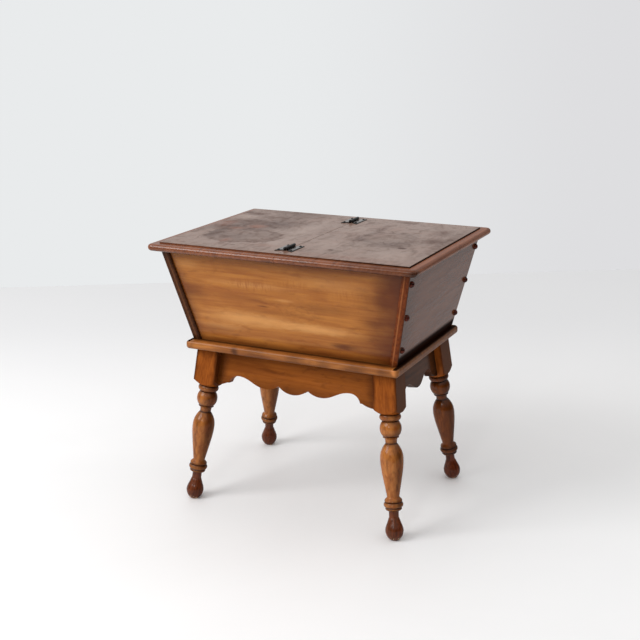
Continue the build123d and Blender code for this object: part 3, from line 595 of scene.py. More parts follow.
@dataclass(frozen=True)
class WoodFinish:
    """Stained and varnished wood whose grain runs along one direction.

    Attributes:
        name: Name of the material.
        tone: Stain.
        origin: Point on the board that its figure is measured from.
        grain: Direction of the grain.
        ring_spacing: Width of a growth ring, in metres.
        pith: Place of the tree's middle across the grain, in metres.
        contrast: How much the figure shows, from 0 to 1.
        mottling: How much the slow clouds of stain show.
        gloss: Roughness of the wood under its varnish.
        coat: Weight of the varnish, 1 or 0 for bare wood.
        coat_roughness: Roughness of the varnish.
        coat_ior: Refraction of the varnish; a worn one reflects less.
        waviness: Depth of the slow waves that planing left, in metres.
        relief: Depth of the fibres, in metres.
    """

    name: str
    tone: Tone
    origin: Vector
    grain: Vector
    ring_spacing: float = 0.009
    pith: Pair = (0.11, 0.07)
    contrast: float = 1.0
    mottling: float = 1.0
    gloss: float = 0.42
    coat: float = 1.0
    coat_roughness: float = 0.14
    coat_ior: float = 1.33
    waviness: float = 0.0005
    relief: float = 0.00012

    def material(self) -> bpy.types.Material:
        """Builds the material."""
        graph = NodeGraph(bpy.data.materials.new(self.name))
        local = graph.in_frame(self.origin, self.grain)
        fibre = graph.noise(Pattern.FIBRE, local)
        streak = graph.noise(Pattern.STREAKS, local)
        growth = self.growth(graph, local)
        colour = graph.mix(self.figure(graph, fibre, streak, growth), self.tone.light, self.tone.dark)
        colour = self.tint(graph, local, self.weather(graph, local, colour))
        coarse = graph.bump(graph.noise(Pattern.PLANING, local), self.waviness)
        return graph.surface(
            colour,
            self.roughness(graph, streak),
            graph.bump(fibre + growth, self.relief, coarse),
            self.varnish(graph, local),
            Coat_Roughness=self.coat_roughness,
            Coat_IOR=self.coat_ior,
            Specular_IOR_Level=0.0 if self.coat > 0 else 0.5,
        )

    def growth(self, graph: NodeGraph, local: Wire) -> Wire:
        """Growth rings about the pith, pulled about by slow noise."""
        flat = graph.vector("MULTIPLY", local, (1, 1, 0))
        radius = graph.vector("DISTANCE", flat, (*self.pith, 0))
        pull = graph.noise(Pattern.RING_PULL, local).spread(-0.02, 0.02)
        return graph.math("SINE", (radius + pull) * (math.tau / self.ring_spacing)).spread(0.25, 0.5)

    def figure(self, graph: NodeGraph, fibre: Wire, streak: Wire, growth: Wire) -> Wire:
        """Share of dark wood at each place."""
        broad = streak.smooth(0.3, 0.7, 0.0, 0.85) + fibre.spread(-0.2, 0.2)
        return graph.math("ADD", broad * 0.75, growth - 0.25, clamp=True) * self.contrast

    def weather(self, graph: NodeGraph, local: Wire, colour: Wire) -> Wire:
        """Slow clouds of darker stain and a scatter of small dark specks."""
        cloud = graph.noise(Pattern.CLOUDS, local).smooth(0.42, 0.72, 0.0, 0.5 * self.mottling)
        blotch = graph.noise(Pattern.BLOTCHES, local).smooth(0.52, 0.74, 0.0, 0.3 * self.mottling)
        speck = graph.noise(Pattern.SPECKS, local).smooth(0.74, 0.8, 0.0, 0.5)
        colour = graph.mix(cloud, colour, self.tone.dark)
        colour = graph.mix(blotch, colour, self.tone.shade)
        return graph.mix(speck, colour, self.tone.shade)

    def tint(self, graph: NodeGraph, local: Wire, colour: Wire) -> Wire:
        """Colour that belongs to one piece alone; plain boards have none."""
        return colour

    def varnish(self, graph: NodeGraph, local: Wire) -> object:
        """Weight of the varnish, the same all over plain boards."""
        return self.coat

    def roughness(self, graph: NodeGraph, streak: Wire) -> Wire:
        """Roughness of the wood, which follows its streaks."""
        return streak.spread(self.gloss - 0.08, self.gloss + 0.08)


@dataclass(frozen=True, kw_only=True)
class ShadedFinish(WoodFinish):
    """Wood darker towards chosen planes, mostly as painted shade, and raw where planes cut off its inner
    side.

    Attributes:
        edges: Planes near which the colour darkens, mostly as painted shade.
        depth: How dark the edges become, from 0 to 1.
        raw_sides: Planes beyond all of which the wood has only a thin stain, if any.
    """

    edges: tuple[EdgePlane, ...]
    depth: float = 0.75
    raw_sides: tuple[EdgePlane, ...] = ()

    def tint(self, graph: NodeGraph, local: Wire, colour: Wire) -> Wire:
        """Shades the edges, then strips the inner side."""
        wobble = graph.noise(Pattern.EDGE_WOBBLE, local)
        # Darkening towards the edge planes, mostly painted shade.
        shade = graph.extreme("MAXIMUM", *(plane.shade(graph, wobble) for plane in self.edges))
        colour = graph.mix(shade * self.depth, colour, self.tone.shade)
        if self.raw_sides:
            inside = graph.extreme("MINIMUM", *(plane.shade(graph) for plane in self.raw_sides))
            raw = graph.mix(graph.noise(Pattern.RAW_GRAIN, local), Tone.RAW.light, Tone.RAW.dark)
            colour = graph.mix(inside, colour, raw)
        return colour


@dataclass(frozen=True, kw_only=True)
class PanelFinish(ShadedFinish):
    """Front or back panel: a curly figure, a small knot, smudges, painted highlights and darker edges.

    Attributes:
        knot: Centre of the knot.
        knot_reach: How far the knot bends the grain, in metres.
        knot_rings: Turns of the knot's rings, in radians per metre.
        heart: Radii of the knot's heart.
    """

    knot: Vector
    knot_reach: float = 0.045
    knot_rings: float = 620.0
    heart: Pair = (0.001, 0.006)

    def tint(self, graph: NodeGraph, local: Wire, colour: Wire) -> Wire:
        """Adds the figure and the marks before the edges are shaded."""
        pull = graph.noise(Pattern.PANEL_PULL)
        bands = graph.noise(Pattern.CURLS).smooth(0.42, 0.66)
        # Painted highlights: pale ovals where the varnish catches the light.
        colour = graph.paint(colour, PANEL_PAINTED_HIGHLIGHTS, pull, PANEL_PAINTED_HIGHLIGHT)
        colour = graph.paint(colour, PANEL_CURLS, pull, self.tone.dark, bands)
        colour = self.knotted(graph, colour)
        colour = graph.paint(colour, PANEL_SMUDGES, pull, self.tone.shade)
        return super().tint(graph, local, colour)

    def knotted(self, graph: NodeGraph, colour: Wire) -> Wire:
        """Faint rings round a small dark heart."""
        offset = graph.vector("SUBTRACT", graph.place, self.knot)
        radius = graph.vector("LENGTH", graph.vector("MULTIPLY", offset, (0.5, 1, 1.1)))
        radius = radius + graph.noise(Pattern.KNOT_PULL).spread(-0.022, 0.022)
        rings = graph.math("SINE", radius * self.knot_rings).smooth(-0.2, 1.0)
        reach = radius.fall(self.knot_reach * 0.15, self.knot_reach)
        colour = graph.mix(rings * reach * 0.16, colour, self.tone.shade)
        return graph.mix(radius.fall(*self.heart) * 0.5, colour, self.tone.shade)


@dataclass(frozen=True, kw_only=True)
class LidFinish(ShadedFinish):
    """Lid leaf: boards glued edge to edge, water stains and a cloudy, worn varnish.

    Attributes:
        worn: Dark marks on the nose: patches worn nearly black, and painted shadow under its overhang.
        field_halves: Half widths of the raised field along X and Y.
        top: Height of the field.
        glue_lines: Places of the glue lines along X.
    """

    worn: tuple[Stain, ...]
    field_halves: Pair
    top: float
    glue_lines: tuple[float, ...] = (-0.112, 0.095)

    def level(self, graph: NodeGraph) -> Wire:
        """1 on the field of the lid and 0 on its nose."""
        return graph.along(Z_AXIS).smooth(self.top - 0.0012, self.top - 0.0004)

    def haze(self, graph: NodeGraph) -> Wire:
        """Where the varnish has turned cloudy, from 0 to 1."""
        return graph.noise(Pattern.LID_HAZE).smooth(0.3, 0.7)

    def mottle(self, graph: NodeGraph) -> Wire:
        """Small brown clouds, from 0 to 1."""
        return graph.noise(Pattern.LID_MOTTLE).smooth(0.42, 0.74)

    def crease(self, graph: NodeGraph) -> Wire:
        """Painted shade in the corner between the nose and the raised field, stronger to the right."""
        end_side, long_side = graph.past(self.field_halves)
        near = graph.extreme("MAXIMUM", end_side, long_side).fall(0.0006, 0.0030)
        rightward = graph.along(X_AXIS).smooth(-0.05, 0.31, 0.3, 0.9)
        share = graph.extreme("MAXIMUM", end_side.smooth(-0.002, 0.0), rightward)
        above = graph.along(Z_AXIS).smooth(self.top - 0.006, self.top - 0.004)
        return near * share * (1.0 - self.level(graph)) * above

    def tint(self, graph: NodeGraph, local: Wire, colour: Wire) -> Wire:
        """Adds glue lines, cloudy varnish, stains, dark marks on the nose and painted shade in the crease.
        """
        pull = graph.noise(Pattern.LID_PULL)
        level = self.level(graph)
        colour = graph.mix(self.haze(graph).spread(0.72, 0.96) * level, colour, CLOUDED_VARNISH)
        colour = graph.mix(self.mottle(graph) * level * 0.5, colour, LID_CLOUDS)
        for stains, tint in ((LID_BLOOMS, BLOOM), (LID_STAINS, WATER_STAIN), (LID_BLUSHES, BLUSH)):
            colour = graph.paint(colour, stains, pull, tint, level)
        for line in self.glue_lines:
            near = abs(graph.along(X_AXIS) - line).fall(0.0004, 0.0014)
            colour = graph.mix(near * 0.22, colour, self.tone.shade)
        # Dark marks on the nose: worn patches, and painted shadow under the nose.
        colour = graph.paint(colour, self.worn, graph.noise(Pattern.RAGGED), NOSE_WEAR_AND_SHADOW)
        # Painted shade in the crease at the foot of the raised field.
        colour = graph.mix(self.crease(graph) * 0.92, colour, CREASE_PAINTED_SHADE)
        return super().tint(graph, local, colour)

    def varnish(self, graph: NodeGraph, local: Wire) -> Wire:
        """Weight of the varnish, thinner where the field and the right of the nose are worn."""
        pull = graph.noise(Pattern.LID_PULL)
        level = self.level(graph)
        stained = graph.extreme("MAXIMUM", *(stain.mask(graph, pull) for stain in LID_STAINS))
        worn = (self.mottle(graph) * 0.3 + stained * 0.62) * level
        nose = (1.0 - level) * graph.along(X_AXIS).smooth(0.0, 0.3)
        return (1.0 - graph.math("ADD", worn, nose * 0.4, clamp=True)) * self.coat

    def roughness(self, graph: NodeGraph, streak: Wire) -> Wire:
        """Roughness that rises where the varnish is cloudy."""
        smears = graph.noise(Pattern.LID_SMEARS).spread(-0.1, 0.1)
        return self.haze(graph).spread(self.gloss - 0.08, self.gloss + 0.12) + smears


@dataclass(frozen=True, kw_only=True)
class LedgeFinish(ShadedFinish):
    """Base board: its ledges against the walls of the trough are painted nearly black as shade under the
    leaning walls.

    Attributes:
        walls: Half widths of the trough's foot along X and Y.
        top: Height of the board's top.
        patches: Dark marks on its edge.
        corner_highlights: Painted highlights on its corners.
    """

    walls: Pair
    top: float
    patches: tuple[Stain, ...]
    corner_highlights: tuple[Stain, ...]

    def tint(self, graph: NodeGraph, local: Wire, colour: Wire) -> Wire:
        """Adds the marks and the painted highlights on the corners, then the painted shade on the ends, the
        underside and the ledges.
        """
        pull = graph.noise(Pattern.LEDGE_PULL)
        colour = graph.paint(colour, self.patches, pull, self.tone.shade)
        # Painted highlights on the rounded corners.
        colour = graph.paint(colour, self.corner_highlights, pull, CORNER_PAINTED_HIGHLIGHT)
        colour = super().tint(graph, local, colour)
        # Painted shade on the ledges under the leaning walls.
        return graph.mix(self.painted_dark(graph) * 0.97, colour, LEDGE_PAINTED_SHADE)

    def painted_dark(self, graph: NodeGraph) -> Wire:
        """Painted shade on the ledges: all of the ends' ledges, and close to the walls along the sides."""
        end_side, long_side = graph.past(self.walls)
        beside_end = end_side.smooth(-0.003, 0.0) * end_side.fall(0.006, 0.0095)
        beside_long = long_side.fall(0.001, 0.012) * 0.8
        flat = graph.along(Z_AXIS).smooth(self.top - 0.003, self.top - 0.001)
        return graph.extreme("MAXIMUM", beside_end, beside_long) * flat

    def varnish(self, graph: NodeGraph, local: Wire) -> Wire:
        """Weight of the varnish, which fades where the ledges are painted dark."""
        return self.painted_dark(graph).spread(1.0, 0.05) * self.coat


@dataclass(frozen=True, kw_only=True)
class EndFinish(ShadedFinish):
    """End panel: a browner outer face, a painted highlight along the arris of its front edge and a painted
    dark band along its foot, for shade and the reflection of the dark ledge.

    Attributes:
        face: Its outer face.
        front: Its front edge, near which the outer face darkens.
        foot_height: Height of its foot.
        arris_highlight: How strong the painted highlight along the arris is, from 0 to 1.
        arris: Distance of the painted highlight line from the outer face.
        foot_reach: Height of the painted dark band.
    """

    face: EdgePlane
    front: EdgePlane
    foot_height: float
    arris_highlight: float
    arris: float = 0.0115
    foot_reach: float = 0.030

    def painted_dark(self, graph: NodeGraph) -> Wire:
        """Painted shade and painted reflection of the dark ledge along the foot of the outer face."""
        above = graph.along(Z_AXIS) - self.foot_height
        return above.fall(self.foot_reach * 0.55, self.foot_reach) * self.face.shade(graph)

    def tint(self, graph: NodeGraph, local: Wire, colour: Wire) -> Wire:
        """Colours the outer face, paints the highlight along the arris and paints the dark band at the foot.
        """
        face = graph.mix(graph.noise(Pattern.END_STREAKS, local).smooth(0.3, 0.7), END_LIGHT, END_DARK)
        face = graph.mix(self.front.shade(graph), face, self.tone.shade)
        colour = graph.mix(self.face.shade(graph), colour, face)
        # Painted highlight along the rounded arris of the front edge.
        line = abs(self.face.distance(graph) + self.arris).fall(0.0004, 0.0026)
        breaks = graph.noise(Pattern.ARRIS_BREAKS, local).spread(0.2 * self.arris_highlight, self.arris_highlight)
        colour = graph.mix(graph.math("MULTIPLY", line, breaks, clamp=True), colour, ARRIS_PAINTED_HIGHLIGHT)
        colour = super().tint(graph, local, colour)
        # Painted shade and painted reflection of the dark ledge along the foot.
        return graph.mix(self.painted_dark(graph) * 0.95, colour, FOOT_PAINTED_SHADE_AND_REFLECTION)

    def varnish(self, graph: NodeGraph, local: Wire) -> Wire:
        """Weight of the varnish, thinner on the edges and fading in the painted dark band at the foot."""
        thin = self.face.shade(graph).spread(0.55 * self.coat, self.coat)
        return self.painted_dark(graph).spread(1.0, 0.04) * thin


@dataclass(frozen=True, kw_only=True)
class LegFinish(WoodFinish):
    """Turned leg: dark stain in its grooves, a darker foot, a worn sole, and painted shade on the side away
    from the light and on the block's end face.

    Attributes:
        grooves: Heights of the grooves up the leg's axis.
        end_face: Face of the block towards the end of the chest, painted darker as shade.
        block_half: Half width of the block.
        groove_width: Half width of the dark stain in a groove.
        foot_top: Height up to which the foot is darker.
        block_foot: Height where the block starts.
        painted_shade_side: Direction of the side away from the light, which is painted darker as shade.
    """

    grooves: tuple[float, ...]
    end_face: EdgePlane
    block_half: float
    groove_width: float = 0.003
    foot_top: float = 0.0675
    block_foot: float = 0.2908
    painted_shade_side: Vector = Vector((0.9, 0.44, 0)).freeze()

    def tint(self, graph: NodeGraph, local: Wire, colour: Wire) -> Wire:
        """Darkens the grooves and the foot, paints shade on the side away from the light and scuffs the
        sole.
        """
        height = graph.along(Z_AXIS, local)
        offsets = [abs(height - groove) for groove in self.grooves]
        burnt = graph.extreme("MAXIMUM", *(offset.fall(0.0, 4 * self.groove_width) for offset in offsets))
        lines = graph.extreme("MAXIMUM", *(offset.fall(0.0004, self.groove_width) for offset in offsets))
        breaks = graph.noise(Pattern.GROOVE_BREAKS, local).spread(0.45, 1.1)
        scorch = burnt * graph.noise(Pattern.SCORCH, local).spread(0.1, 0.95)
        colour = graph.mix(scorch, colour, self.tone.shade)
        # Painted shade on the side of the leg away from the light.
        colour = graph.mix(self.painted_lee_shade(graph, local), colour, self.tone.shade)
        mottle = graph.noise(Pattern.LEG_MOTTLE, local).smooth(0.44, 0.7, 0.0, 0.55)
        colour = graph.mix(mottle, colour, self.tone.dark)
        streaks = graph.noise(Pattern.FOOT_STREAKS, local).smooth(0.34, 0.64)
        foot = height.fall(self.foot_top - 0.002, self.foot_top + 0.002) * 0.92
        colour = graph.mix(foot, colour, graph.mix(streaks, FOOT_LIGHT, FOOT_DARK))
        colour = graph.mix(self.block(graph, local), colour, self.sawn(graph, local))
        colour = graph.mix(graph.math("MULTIPLY", lines, breaks, clamp=True), colour, self.tone.shade)
        scuffs = graph.noise(Pattern.SCUFFS, local).smooth(0.5, 0.62)
        return graph.mix(height.fall(0.002, 0.010) * scuffs, colour, SCUFFED_SOLE)

    def painted_lee_shade(self, graph: NodeGraph, local: Wire) -> Wire:
        """Painted shade on the side away from the light; the grain is given per metre of height."""
        aside = graph.along(self.painted_shade_side) - self.painted_shade_side.dot(self.origin)
        offset = aside - graph.along(Z_AXIS) * self.painted_shade_side.dot(self.grain)
        return offset.smooth(-0.004, 0.016) * graph.noise(Pattern.LEE_SHADE_BREAKS, local).spread(0.3, 0.9)

    def block(self, graph: NodeGraph, local: Wire) -> Wire:
        """1 on the square block and 0 on the turned leg."""
        return graph.along(Z_AXIS, local).smooth(self.block_foot - 0.001, self.block_foot + 0.001)

    def sawn(self, graph: NodeGraph, local: Wire) -> Wire:
        """Colour of the block: amber in the middle of its faces, dark along its arrises, and painted shade
        on its end face.
        """
        grain = graph.noise(Pattern.BLOCK_GRAIN, local).smooth(0.25, 0.75)
        clouds = graph.noise(Pattern.BLOCK_CLOUDS, local).smooth(0.45, 0.75, 0.0, 0.5)
        colour = graph.mix(clouds, graph.mix(grain, BLOCK_LIGHT, BLOCK_DARK), Tone.TAWNY.dark)
        wobble = graph.noise(Pattern.BLOCK_WOBBLE, local).spread(-0.006, 0.006)
        across = abs(self.end_face.distance(graph) + self.block_half) + wobble
        shade = across.smooth(self.block_half - 0.010, self.block_half, 0.0, 0.7)
        colour = graph.mix(shade, colour, Tone.TAWNY.shade)
        # Painted shade on the block's end face.
        return graph.mix(self.end_face.shade(graph), colour, Tone.WALNUT.light)

    def varnish(self, graph: NodeGraph, local: Wire) -> Wire:
        """Weight of the varnish, thinner on the block and on the side with painted shade."""
        turned = self.painted_lee_shade(graph, local).spread(self.coat, 0.4 * self.coat)
        return self.block(graph, local).spread(1.0, 0.35) * turned


@dataclass(frozen=True)
class IronFinish:
    """Blackened iron, polished by hands on its flat top.

    Attributes:
        name: Name of the material.
        top: Height of the flat top.
        polish: How much the top reflects, from 0 to 1.
    """

    name: str
    top: float
    polish: float = 1.0

    def material(self) -> bpy.types.Material:
        """Builds the material."""
        graph = NodeGraph(bpy.data.materials.new(self.name))
        patches = graph.noise(Pattern.IRON_PATCHES)
        level = abs(graph.along(Z_AXIS) - self.top).fall(0.00012, 0.0003) * self.polish
        colour = graph.mix(patches.smooth(0.5, 0.75), IRON_BLACK, IRON_BROWN)
        return graph.surface(
            graph.mix(level, colour, IRON_POLISHED),
            patches.spread(0.16, 0.32),
            graph.bump(graph.noise(Pattern.IRON_PITS), 0.00005),
            level.spread(0.05, 0.55),
            Metallic=level,
            Coat_Roughness=0.06,
            Specular_IOR_Level=0.15,
        )


@dataclass(frozen=True)
class ButtonFinish:
    """Nearly black stained buttons with patches of red, under a material's name."""

    name: str

    def material(self) -> bpy.types.Material:
        """Builds the material."""
        graph = NodeGraph(bpy.data.materials.new(self.name))
        fibre = graph.noise(Pattern.BUTTON_FIBRE)
        worn = graph.noise(Pattern.BUTTON_WEAR).smooth(0.4, 0.56)
        colour = graph.mix(worn, BUTTON_BLACK, graph.mix(fibre, BUTTON_RED, BUTTON_DARK_RED))
        normal = graph.bump(fibre, 0.0001)
        return graph.surface(colour, 0.5, normal, 0.35, Coat_Roughness=0.1, Specular_IOR_Level=0.0)


@dataclass(frozen=True)
class SteelFinish:
    """Plain steel of the hidden screws, under a material's name."""

    name: str

    def material(self) -> bpy.types.Material:
        """Builds the material."""
        graph = NodeGraph(bpy.data.materials.new(self.name))
        scratches = graph.noise(Pattern.SCRATCHES)
        colour = graph.mix(scratches, STEEL_DARK, STEEL_LIGHT)
        normal = graph.bump(scratches, 0.00004)
        return graph.surface(colour, scratches.spread(0.3, 0.45), normal, Metallic=1.0)


@dataclass(frozen=True)
class FloorFinish:
    """Painted studio floor, pale and slightly uneven, with painted shade darkening it away from the camera.

    Attributes:
        name: Name of the material.
        away: Direction away from the camera.
    """

    name: str
    away: Vector = Vector((-0.444, 0.896, 0)).freeze()

    def material(self) -> bpy.types.Material:
        """Builds the material."""
        graph = NodeGraph(bpy.data.materials.new(self.name))
        smears = graph.noise(Pattern.FLOOR_SMEARS)
        colour = graph.mix(smears, FLOOR_DARK, FLOOR_LIGHT)
        # Painted shade: the floor darkens away from the camera.
        colour = graph.mix(graph.along(self.away).smooth(0.3, 1.6), colour, FLOOR_PAINTED_FALLOFF)
        return graph.surface(colour, smears.spread(0.45, 0.65), graph.bump(smears, 0.0005))


Finish = WoodFinish | IronFinish | ButtonFinish | SteelFinish | FloorFinish


# ---------------------------------------------------------------- sub-assemblies


def dress(node: bpy.types.Object, material: bpy.types.Material) -> None:
    """Gives a piece its finish in every slot that it has."""
    if not node.material_slots:
        node.data.materials.append(material)
    for slot in node.material_slots:
        slot.material = material
    LOG.info("%s dressed", node.name)


def middle(name: str) -> Vector:
    """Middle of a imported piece's box."""
    low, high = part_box(name)
    return (low + high) / 2


def raw_wood(name: str, origin: Vector) -> WoodFinish:
    """Bare, thinly stained wood of the pieces inside."""
    return WoodFinish(name, Tone.RAW, origin, X_AXIS, coat=0.0, gloss=0.6)


@dataclass
class Assembly:
    """Part of the chest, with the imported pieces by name."""

    nodes: dict[str, bpy.types.Object]

    def finish(self, finish: Finish, *names: str) -> None:
        """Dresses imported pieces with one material."""
        material = finish.material()
        for name in names:
            dress(self.nodes[name], material)


@dataclass
class Lid(Assembly):
    """The two leaves and the cleats under the fixed one.

    Attributes:
        field_halves: Half length and half depth of the raised field.
        rim_width: Reach of the painted shade along the underside's rim.
    """

    field_halves: Pair = (0.3100, 0.2287)
    rim_width: float = 0.004

    def worn(self, name: str) -> tuple[Stain, ...]:
        """Dark marks along the nose of a leaf: worn patches, and on the opening leaf a painted shadow line
        under the nose.
        """
        low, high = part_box(name)
        if name == "lid_fixed_leaf":
            return (Stain((-0.02, low.y, low.z + 0.004), (0.02, 0.03, 0.006), 0.4),)
        return (
            # Painted shadow along the underside of the nose, over the front panel; the marks after it are
            # worn patches.
            Stain((0.130, low.y + 0.008, low.z), (0.125, 0.016, 0.0050), 1.0),
            Stain((0.245, low.y, low.z + 0.010), (0.130, 0.03, 0.016), 0.32, 0.0, 0.4),
            Stain((high.x, low.y, low.z + 0.004), (0.034, 0.034, 0.016), 0.75),
            Stain((0.07, low.y, high.z - 0.008), (0.028, 0.02, 0.004), 0.5),
        )

    def build(self) -> None:
        """Dresses the leaves and the cleats."""
        for name in ("lid_fixed_leaf", "lid_opening_leaf"):
            low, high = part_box(name)
            finish = LidFinish(
                f"{name}_wood",
                Tone.MAROON,
                (low + high) / 2,
                Y_AXIS,
                pith=(0.3, 0.22),
                contrast=0.8,
                gloss=0.38,
                coat=0.74,
                coat_roughness=0.17,
                coat_ior=1.5,
                # Painted shade along the underside of the leaf's nose.
                edges=(EdgePlane(Z_AXIS * low.z, -Z_AXIS, self.rim_width),),
                worn=self.worn(name),
                field_halves=self.field_halves,
                top=high.z,
            )
            self.finish(finish, name)
        for name in ("front_lid_cleat", "back_lid_cleat"):
            self.finish(raw_wood(f"{name}_wood", middle(name)), name)


@dataclass
class Trough(Assembly):
    """The four leaning walls, their buttons, the bottom and the hidden screws.

    Attributes:
        head_width: Reach of the painted shadow under the lid along the panels' upper edges.
        foot_width: Reach of the darker band along their lower edges, painted shade where they meet the base
            board, with darker stain.
        wall: Thickness of a wall, on the safe side.
        skin: Thickness in which an end panel's outer face turns into its edge.
        knot: Place of the knot on the back panel; the front one mirrors it.
    """

    head_width: float = 0.045
    foot_width: float = 0.016
    wall: float = 0.015
    skin: float = 0.0015
    knot: Vector = Vector((0.024, 0.191, 0.508)).freeze()

    def end_plane(self, end: int, width: float) -> EdgePlane:
        """Outer face of an end panel."""
        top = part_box("right_end_panel")[1]
        normal = Vector((end * math.cos(END_LEAN), 0, -math.sin(END_LEAN)))
        return EdgePlane(Vector((end * top.x, 0, top.z)), normal, width)

    def side_plane(self, side: int, width: float, depth: float = 1.0) -> EdgePlane:
        """Outer face of the front or back panel."""
        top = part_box("back_panel")[1]
        normal = Vector((0, side * math.cos(SIDE_LEAN), -math.sin(SIDE_LEAN)))
        return EdgePlane(Vector((0, side * top.y, top.z)), normal, width, depth)

    def level_planes(self, name: str) -> tuple[EdgePlane, EdgePlane]:
        """Planes of a panel's lower and upper edges: painted shade at its foot and painted shadow under the
        lid at its head.
        """
        low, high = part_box(name)
        return EdgePlane(low, -Z_AXIS, self.foot_width, 0.6), EdgePlane(high, Z_AXIS, self.head_width, 0.5)

    def inner(self, face: EdgePlane) -> EdgePlane:
        """Plane just inside a wall's inner face."""
        return EdgePlane(face.point - face.normal * self.wall, -face.normal, 0.001)

    def build(self) -> None:
        """Dresses every piece of the trough."""
        for side_name, side in SIDES.items():
            self.build_side(f"{side_name}_panel", side)
        for end_name, end in ENDS.items():
            self.build_end(f"{end_name}_end_panel", end)
        self.finish(ButtonFinish("button_stain"), "left_end_buttons", "right_end_buttons")
        self.finish(raw_wood("trough_bottom_wood", middle("trough_bottom")), "trough_bottom")
        screws = ("left_end", "right_end", "trough", "lid_cleat", "leg", "glue_block")
        self.finish(SteelFinish("screw_steel"), *(f"{place}_screws" for place in screws))

    def build_side(self, name: str, side: int) -> None:
        """Dresses the front or back panel."""
        finish = PanelFinish(
            f"{name}_wood",
            Tone.AMBER,
            middle(name),
            X_AXIS,
            contrast=0.7,
            mottling=0.85,
            coat=0.8,
            # Painted shadow under the lid at the head, painted shade at the foot, and darker towards both
            # ends.
            edges=(*self.level_planes(name), self.end_plane(-1, 0.052), self.end_plane(1, 0.135)),
            depth=0.9,
            raw_sides=(self.inner(self.side_plane(side, 0)),),
            knot=Vector((self.knot.x, side * self.knot.y, self.knot.z)),
        )
        self.finish(finish, name)

    def build_end(self, name: str, end: int) -> None:
        """Dresses an end panel, raw inside between the front and back panels."""
        sides = [self.side_plane(side, 0) for side in SIDES.values()]
        finish = EndFinish(
            f"{name}_wood",
            Tone.RUSSET if end > 0 else Tone.WALNUT,
            middle(name),
            Y_AXIS,
            mottling=0.6,
            coat=0.66,
            coat_roughness=0.09,
            waviness=0.0012,
            # Painted shadow under the lid at the head and painted shade at the foot.
            edges=self.level_planes(name),
            depth=0.5,
            face=self.end_plane(end, self.skin),
            front=self.side_plane(-1, 0.09, 0.4),
            foot_height=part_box(name)[0].z,
            # The painted arris highlight is stronger on the right end panel.
            arris_highlight=0.6 if end > 0 else 0.2,
            raw_sides=tuple(self.inner(face) for face in (self.end_plane(end, 0), *sides)),
        )
        self.finish(finish, name)


